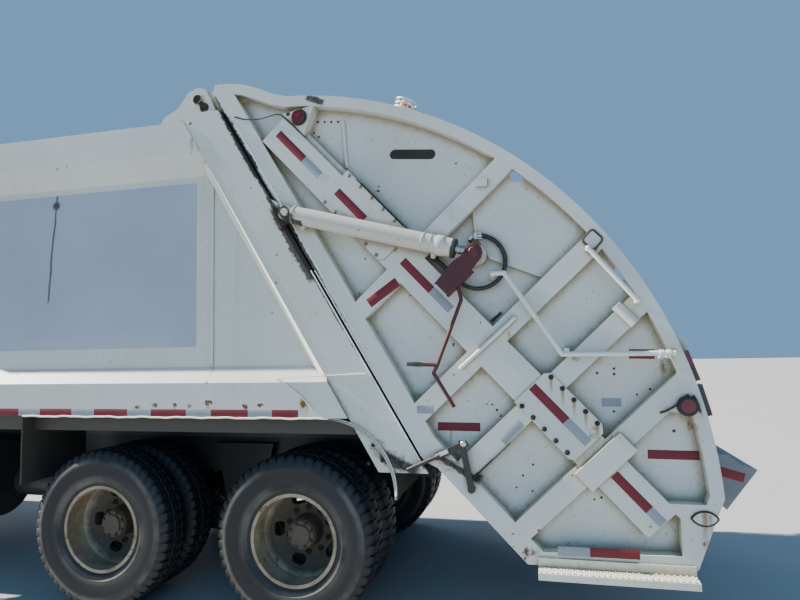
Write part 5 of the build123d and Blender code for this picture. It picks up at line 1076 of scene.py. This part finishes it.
dress("beacons", aged_paint("beacon_cage", (0.72, 0.72, 0.70), (0.78, 0.77, 0.74), 0.8, 0.5))


def beacon_orange():
    """Orange lens plastic, glossy, bleached in patches."""
    material, place, prisms, bleach = lens_plastic("beacon_orange")
    tone = bleach.step(0.35, 0.75).tint((0.70, 0.10, 0.012), (0.80, 0.22, 0.05))
    return finish_with(material, place, tone, 0.12 + bleach * 0.18, prisms, 0.0008)


BEACON_TURN, BEACON_R = math.radians(110.5), 2.6284
beacon_out = np.array((math.cos(BEACON_TURN), 0.0, math.sin(BEACON_TURN)))
beacon_at = np.array((ARC_X, 1.110, ARC_Z)) + BEACON_R * beacon_out
DOME = ((0.0, 0.012), (0.0385, 0.012), (0.0385, 0.040), (0.0365, 0.050), (0.030, 0.058), (0.016, 0.0625),
        (0.0, 0.0635))
dome = turned(DOME, beacon_at, beacon_out, 28)
make_piece("beacon_domes", both([dome]), "tailgate", beacon_orange())

# Rails and steps: bent white tube, clamped on; below it a folded sheet step with a row of pressed round
# cleats along it, worn bright by boots.

rail_white = aged_paint("rail_white", (0.66, 0.655, 0.60), (0.72, 0.72, 0.68), 0.6, 1.0)
dress("grab_rails", rail_white)
SADDLE = ((0.0142, -0.013), (0.0185, -0.011), (0.0185, 0.011), (0.0142, 0.013), (0.0142, -0.013))
clamps = []
for x in (AXLE_X - 2.167, AXLE_X - 2.202):
    clamps.append(turned(SADDLE, (x, 1.250, 1.6445), (1, 0, 0), 20))
    foot = ((x - 0.010, 1.617), (x + 0.010, 1.617), (x + 0.010, 1.632), (x - 0.010, 1.632))
    clamps.append(prism(foot, RIM_FACE, 1.252))
make_piece("rail_clamps", both(clamps), "tailgate", rail_white)
step_worn = aged_paint("step_worn", (0.60, 0.58, 0.47), (0.70, 0.68, 0.58), 1.6, 1.4)
dress("riding_steps", step_worn)

CLEATS, STEP_TOP = 27, 0.472


def cleats():
    """Step grating: a grid over the step raised by round cleats, each a power of the cosines of its two
    distances, and scalloped at its outer edge by the same spacing."""
    u, v = spread(211, 15)
    x = AXLE_X - 2.284 + u * 0.802
    y = 1.204 + v * 0.092
    cells = np.cos(u * CLEATS * 2 * math.pi) * np.cos((v - 0.25) * 2 * 2 * math.pi)
    rise = 0.0012 + 0.0075 * np.clip(cells, 0.0, 1.0) ** 1.5
    edge = np.clip((v - 0.9) / 0.1, 0.0, 1.0) * 0.006 * (1.0 - np.abs(np.cos(u * CLEATS * math.pi)))
    top = np.stack([x, y - edge, STEP_TOP + rise], -1)
    return slab(top, np.stack([x, y - edge, np.full_like(x, STEP_TOP + 0.0001)], -1))


make_piece("step_cleats", both([cleats()]), "tailgate", step_worn, 40.0)

# Latches and hoses: black forged latch arms turn on a bright pin and close over a white shim. The hydraulic
# hose is black rubber, screwed into a white steel elbow with a hexagonal ferrule.

dress("latches", dusty_paint("latch_black", (0.022, 0.020, 0.020), (0.10, 0.07, 0.045), 0.45, 0.5))
PIN_END = ((0.0, 0.0), (0.017, 0.0), (0.017, 0.006), (0.012, 0.010), (0.0, 0.010))
pins = [turned(PIN_END, (AXLE_X - 1.082, 1.232, 1.144), (0, 1, 0), 20)]
pin_bright = dusty_paint("pin_bright", (0.55, 0.53, 0.50), ROAD_DUST, 0.15, 0.3, Metallic=0.8)
make_piece("latch_pins", both(pins), "tailgate", pin_bright)
SHIM = ((-0.910, 1.0735), (-0.984, 1.107), (-0.993, 1.088), (-0.918, 1.054))
shims = [prism([(AXLE_X + x, z) for x, z in SHIM], 1.214, 1.226)]
make_piece("latch_shims", both(shims), "tailgate", rail_white)

dress("tail_hoses", dusty_paint("hose_rubber", (0.018, 0.018, 0.019), ROAD_DUST, 0.2, 0.45))
HOSE_Y = 1.150
ELBOW = ((-1.172, HOSE_Y, 2.363), (-1.163, HOSE_Y, 2.3615), (-1.155, HOSE_Y, 2.353), (-1.148, HOSE_Y, 2.343),
         (-1.1463, HOSE_Y - 0.006, 2.338), (-1.146, 1.124, 2.337), (-1.146, 1.101, 2.337))
FERRULE = ((0.0, -0.025), (0.0188, -0.025), (0.0205, -0.020), (0.0205, 0.002), (0.0188, 0.004),
           (0.0215, 0.006), (0.0215, 0.025), (0.0, 0.027))
fittings = [pipe(placed(ELBOW), 0.0138, 12, (0.3, 0.95, 0.1))]
fittings.append(turned(FERRULE, (AXLE_X - 1.194, HOSE_Y, 2.363), (1, 0, 0), 6))
make_piece("hose_fittings", both(fittings), "tailgate", rail_white)

# Hopper and packer: hard steel plate, dark blue-grey, scoured bright where the load slides and brown in the
# corners with staining and painted shade. The slide and sweep cylinders are painted, and their rods are
# chromed.

worn_steel = aged_paint("worn_steel", (0.105, 0.112, 0.13), (0.19, 0.195, 0.205), 1.2, 1.4, 1.5)
dress("hopper_shell slide_carriage sweep_blade ejector_panel", worn_steel)
dress("slide_barrels", aged_paint("barrel_paint", (0.50, 0.49, 0.44), (0.58, 0.57, 0.53), 1.2, 1.5))


def chromed():
    """Chromed rod: mirror bright under a film of oil and dust that gathers in rings along it."""
    material, place = new_material("rod_chrome")
    film = noise(place, 20.0, 3.0, 0.6)
    ring = noise(place, 3.0, 2.0, 0.5, (6.0, 0.4, 6.0))
    dust = film * 0.5 + ring.step(0.45, 0.7) * 0.4
    tone = dust.tint((0.42, 0.42, 0.43), (0.14, 0.12, 0.10))
    return finish_with(material, place, tone, 0.10 + dust * 0.4, film, 0.0003, Metallic=0.9)


dress("sweep_rods lift_rods", chromed())

# Lift cylinders: painted barrels with welded rings, black glands and hose ports, and their chromed rods.
# The dark red safety props hang on the rods' pins.

lift_paint = aged_paint("lift_paint", (0.50, 0.485, 0.42), (0.57, 0.56, 0.50), 1.8, 1.8, 2.0, patches=(
    (-0.130, 2.590, 0.090, 0.016, 1.1),
    (-0.700, 2.425, 0.050, 0.012, 0.9),
), grease=(
    (0.030, 2.600, -0.035, 2.520, 0.044),
    (-0.055, 2.500, -0.110, 2.485, 0.020),
))
dress("lift_barrels", lift_paint)
LIFT_BASE, LIFT_EYE, LIFT_Y = np.array((-0.004, 2.563)), np.array((-1.180, 2.245)), 1.256
lift_run = LIFT_EYE - LIFT_BASE
lift_run /= np.linalg.norm(lift_run)


def on_lift(along):
    """Point on a lift cylinder's axis, at a distance from its base pin."""
    x, z = LIFT_BASE + lift_run * along
    return np.array((AXLE_X + x, LIFT_Y, z))


lift_axis = (lift_run[0], 0.0, lift_run[1])
RINGS = (
    # place along the barrel, half length, how far out
    (0.052, 0.008, 0.0035), (0.905, 0.006, 0.0030), (0.955, 0.004, 0.0025), (1.012, 0.030, 0.0050),
)
rings = []
for along, half, rise in RINGS:
    crest = 0.056 + rise
    profile = ((0.0555, -half), (crest, -half * 0.6), (crest, half * 0.6), (0.0555, half), (0.0555, -half))
    rings.append(turned(profile, on_lift(along), lift_axis, 40))
PORT = ((0.0, 0.0), (0.019, 0.0), (0.019, 0.022), (0.013, 0.024), (0.013, 0.034), (0.0, 0.036))
port = np.cross(lift_axis, (0.0, 1.0, 0.0))
port *= -np.sign(port[2])
for along in (0.130, 0.985):
    rings.append(turned(PORT, on_lift(along) + port * 0.050, port, 8))
make_piece("lift_rings", both(rings), "lift_barrels", lift_paint, 40.0)
GLAND = ((0.0275, 0.0), (0.0575, 0.0), (0.0590, 0.004), (0.0590, 0.018), (0.0540, 0.024), (0.0400, 0.026),
         (0.0275, 0.026), (0.0275, 0.0))
gland = turned(GLAND, on_lift(1.0825), lift_axis, 40)
gland_black = dusty_paint("gland_black", (0.020, 0.019, 0.018), (0.11, 0.09, 0.065), 0.4, 0.5)
make_piece("lift_glands", both([gland]), "lift_barrels", gland_black)

prop_red = aged_paint("prop_red", (0.052, 0.005, 0.009), (0.075, 0.010, 0.013), 0.3, 0.3, 0.4, 0.5)
dress("tailgate_props", prop_red)
eye_at = (AXLE_X + LIFT_EYE[0], 1.2970, LIFT_EYE[1])
BOSS = ((0.0, 0.0), (0.047, 0.0), (0.047, 0.003), (0.040, 0.005), (0.036, 0.003), (0.030, 0.005),
        (0.026, 0.009), (0.024, 0.011), (0.0, 0.011))
make_piece("prop_bosses", both([turned(BOSS, eye_at, (0, 1, 0), 32)]), "lift_rods", prop_red)
grip_end, grip_from = np.array((-0.771, 1.606)), np.array((-0.948, 1.597))
back = (grip_from - grip_end) / np.linalg.norm(grip_from - grip_end)
SLEEVE = ((0.0, -0.003), (0.0125, -0.003), (0.0135, 0.004), (0.0135, 0.085), (0.0112, 0.090), (0.0, 0.090))
grip = turned(SLEEVE, (AXLE_X + grip_end[0], LIFT_Y + 0.014, grip_end[1]), (back[0], 0.0, back[1]), 16)
grip_black = dusty_paint("grip_black", (0.020, 0.017, 0.018), (0.14, 0.12, 0.11), 0.35, 0.4)
make_piece("prop_grips", both([grip]), "lift_rods", grip_black)

# Stage: a plain pale floor under a blue sky, lit by a sun in front of the truck and by two broad lamps.
# The camera stands beside the tailgate, 4.7 m to the truck's left and 1.7 m up.

CAMERA_AT = (AXLE_X - 1.578, 4.722, 1.702)
YAW, PITCH, ROLL = 0.2401, 0.0793, -0.0203
forward = Vector((math.sin(YAW) * math.cos(PITCH), -math.cos(YAW) * math.cos(PITCH), math.sin(PITCH)))
level = forward.cross(Vector((0, 0, 1))).normalized()
upright = level.cross(forward)
right = math.cos(ROLL) * level + math.sin(ROLL) * upright
top = -math.sin(ROLL) * level + math.cos(ROLL) * upright
camera_data = bpy.data.cameras.new("camera")
camera_data.lens, camera_data.sensor_width, camera_data.clip_end = 27.0, 36.0, 200.0
camera = new_object("camera", camera_data)
camera.matrix_world = Matrix.Translation(CAMERA_AT) @ Matrix((right, top, -forward)).transposed().to_4x4()
bpy.context.scene.camera = camera

FLOOR_HALF = 60.0
floor_mesh = bpy.data.meshes.new("floor")
corners = [(FLOOR_HALF * x, FLOOR_HALF * y, 0) for x, y in ((-1, -1), (1, -1), (1, 1), (-1, 1))]
floor_mesh.from_pydata(corners, [], [(0, 1, 2, 3)])
floor = new_object("floor", floor_mesh)
floor_paint, place = new_material("studio_floor")
floor_tone = noise(place, 0.4).tint((0.36, 0.36, 0.36), (0.38, 0.38, 0.375))
floor_mesh.materials.append(finish_with(floor_paint, place, floor_tone, 0.9))

world = bpy.data.worlds.new("sky")
world.use_nodes = True
sky = world.node_tree.nodes["Background"].inputs
sky["Color"].default_value = (0.30, 0.60, 1.0, 1.0)
sky["Strength"].default_value = 0.60
bpy.context.scene.world = world

SUN_FROM = Vector((0.82, 0.020, 0.57))
sun_light = bpy.data.lights.new("sun", "SUN")
sun_light.energy, sun_light.angle, sun_light.color = 15.0, 0.010, (1.0, 0.95, 0.84)
sun = new_object("sun", sun_light)
sun.matrix_world = SUN_FROM.to_track_quat("Z", "Y").to_matrix().to_4x4()

LAMPS = (
    # name, place, aimed at, size, watts, colour
    ("rim", (9.0, -12.0, 7.0), (0.0, 0.0, 1.5), 6.0, 400.0, (1.0, 0.96, 0.90)),
    ("fill", (-5.0, 13.0, 5.0), (-2.0, 0.0, 1.5), 9.0, 380.0, (0.28, 0.62, 1.0)),
)
for name, spot, aim, size, watts, colour in LAMPS:
    light = bpy.data.lights.new(name, "AREA")
    light.size, light.energy, light.color = size, watts, colour
    lamp = new_object(name, light)
    towards = Vector(aim) - Vector(spot)
    lamp.matrix_world = Matrix.Translation(spot) @ towards.to_track_quat("-Z", "Y").to_matrix().to_4x4()
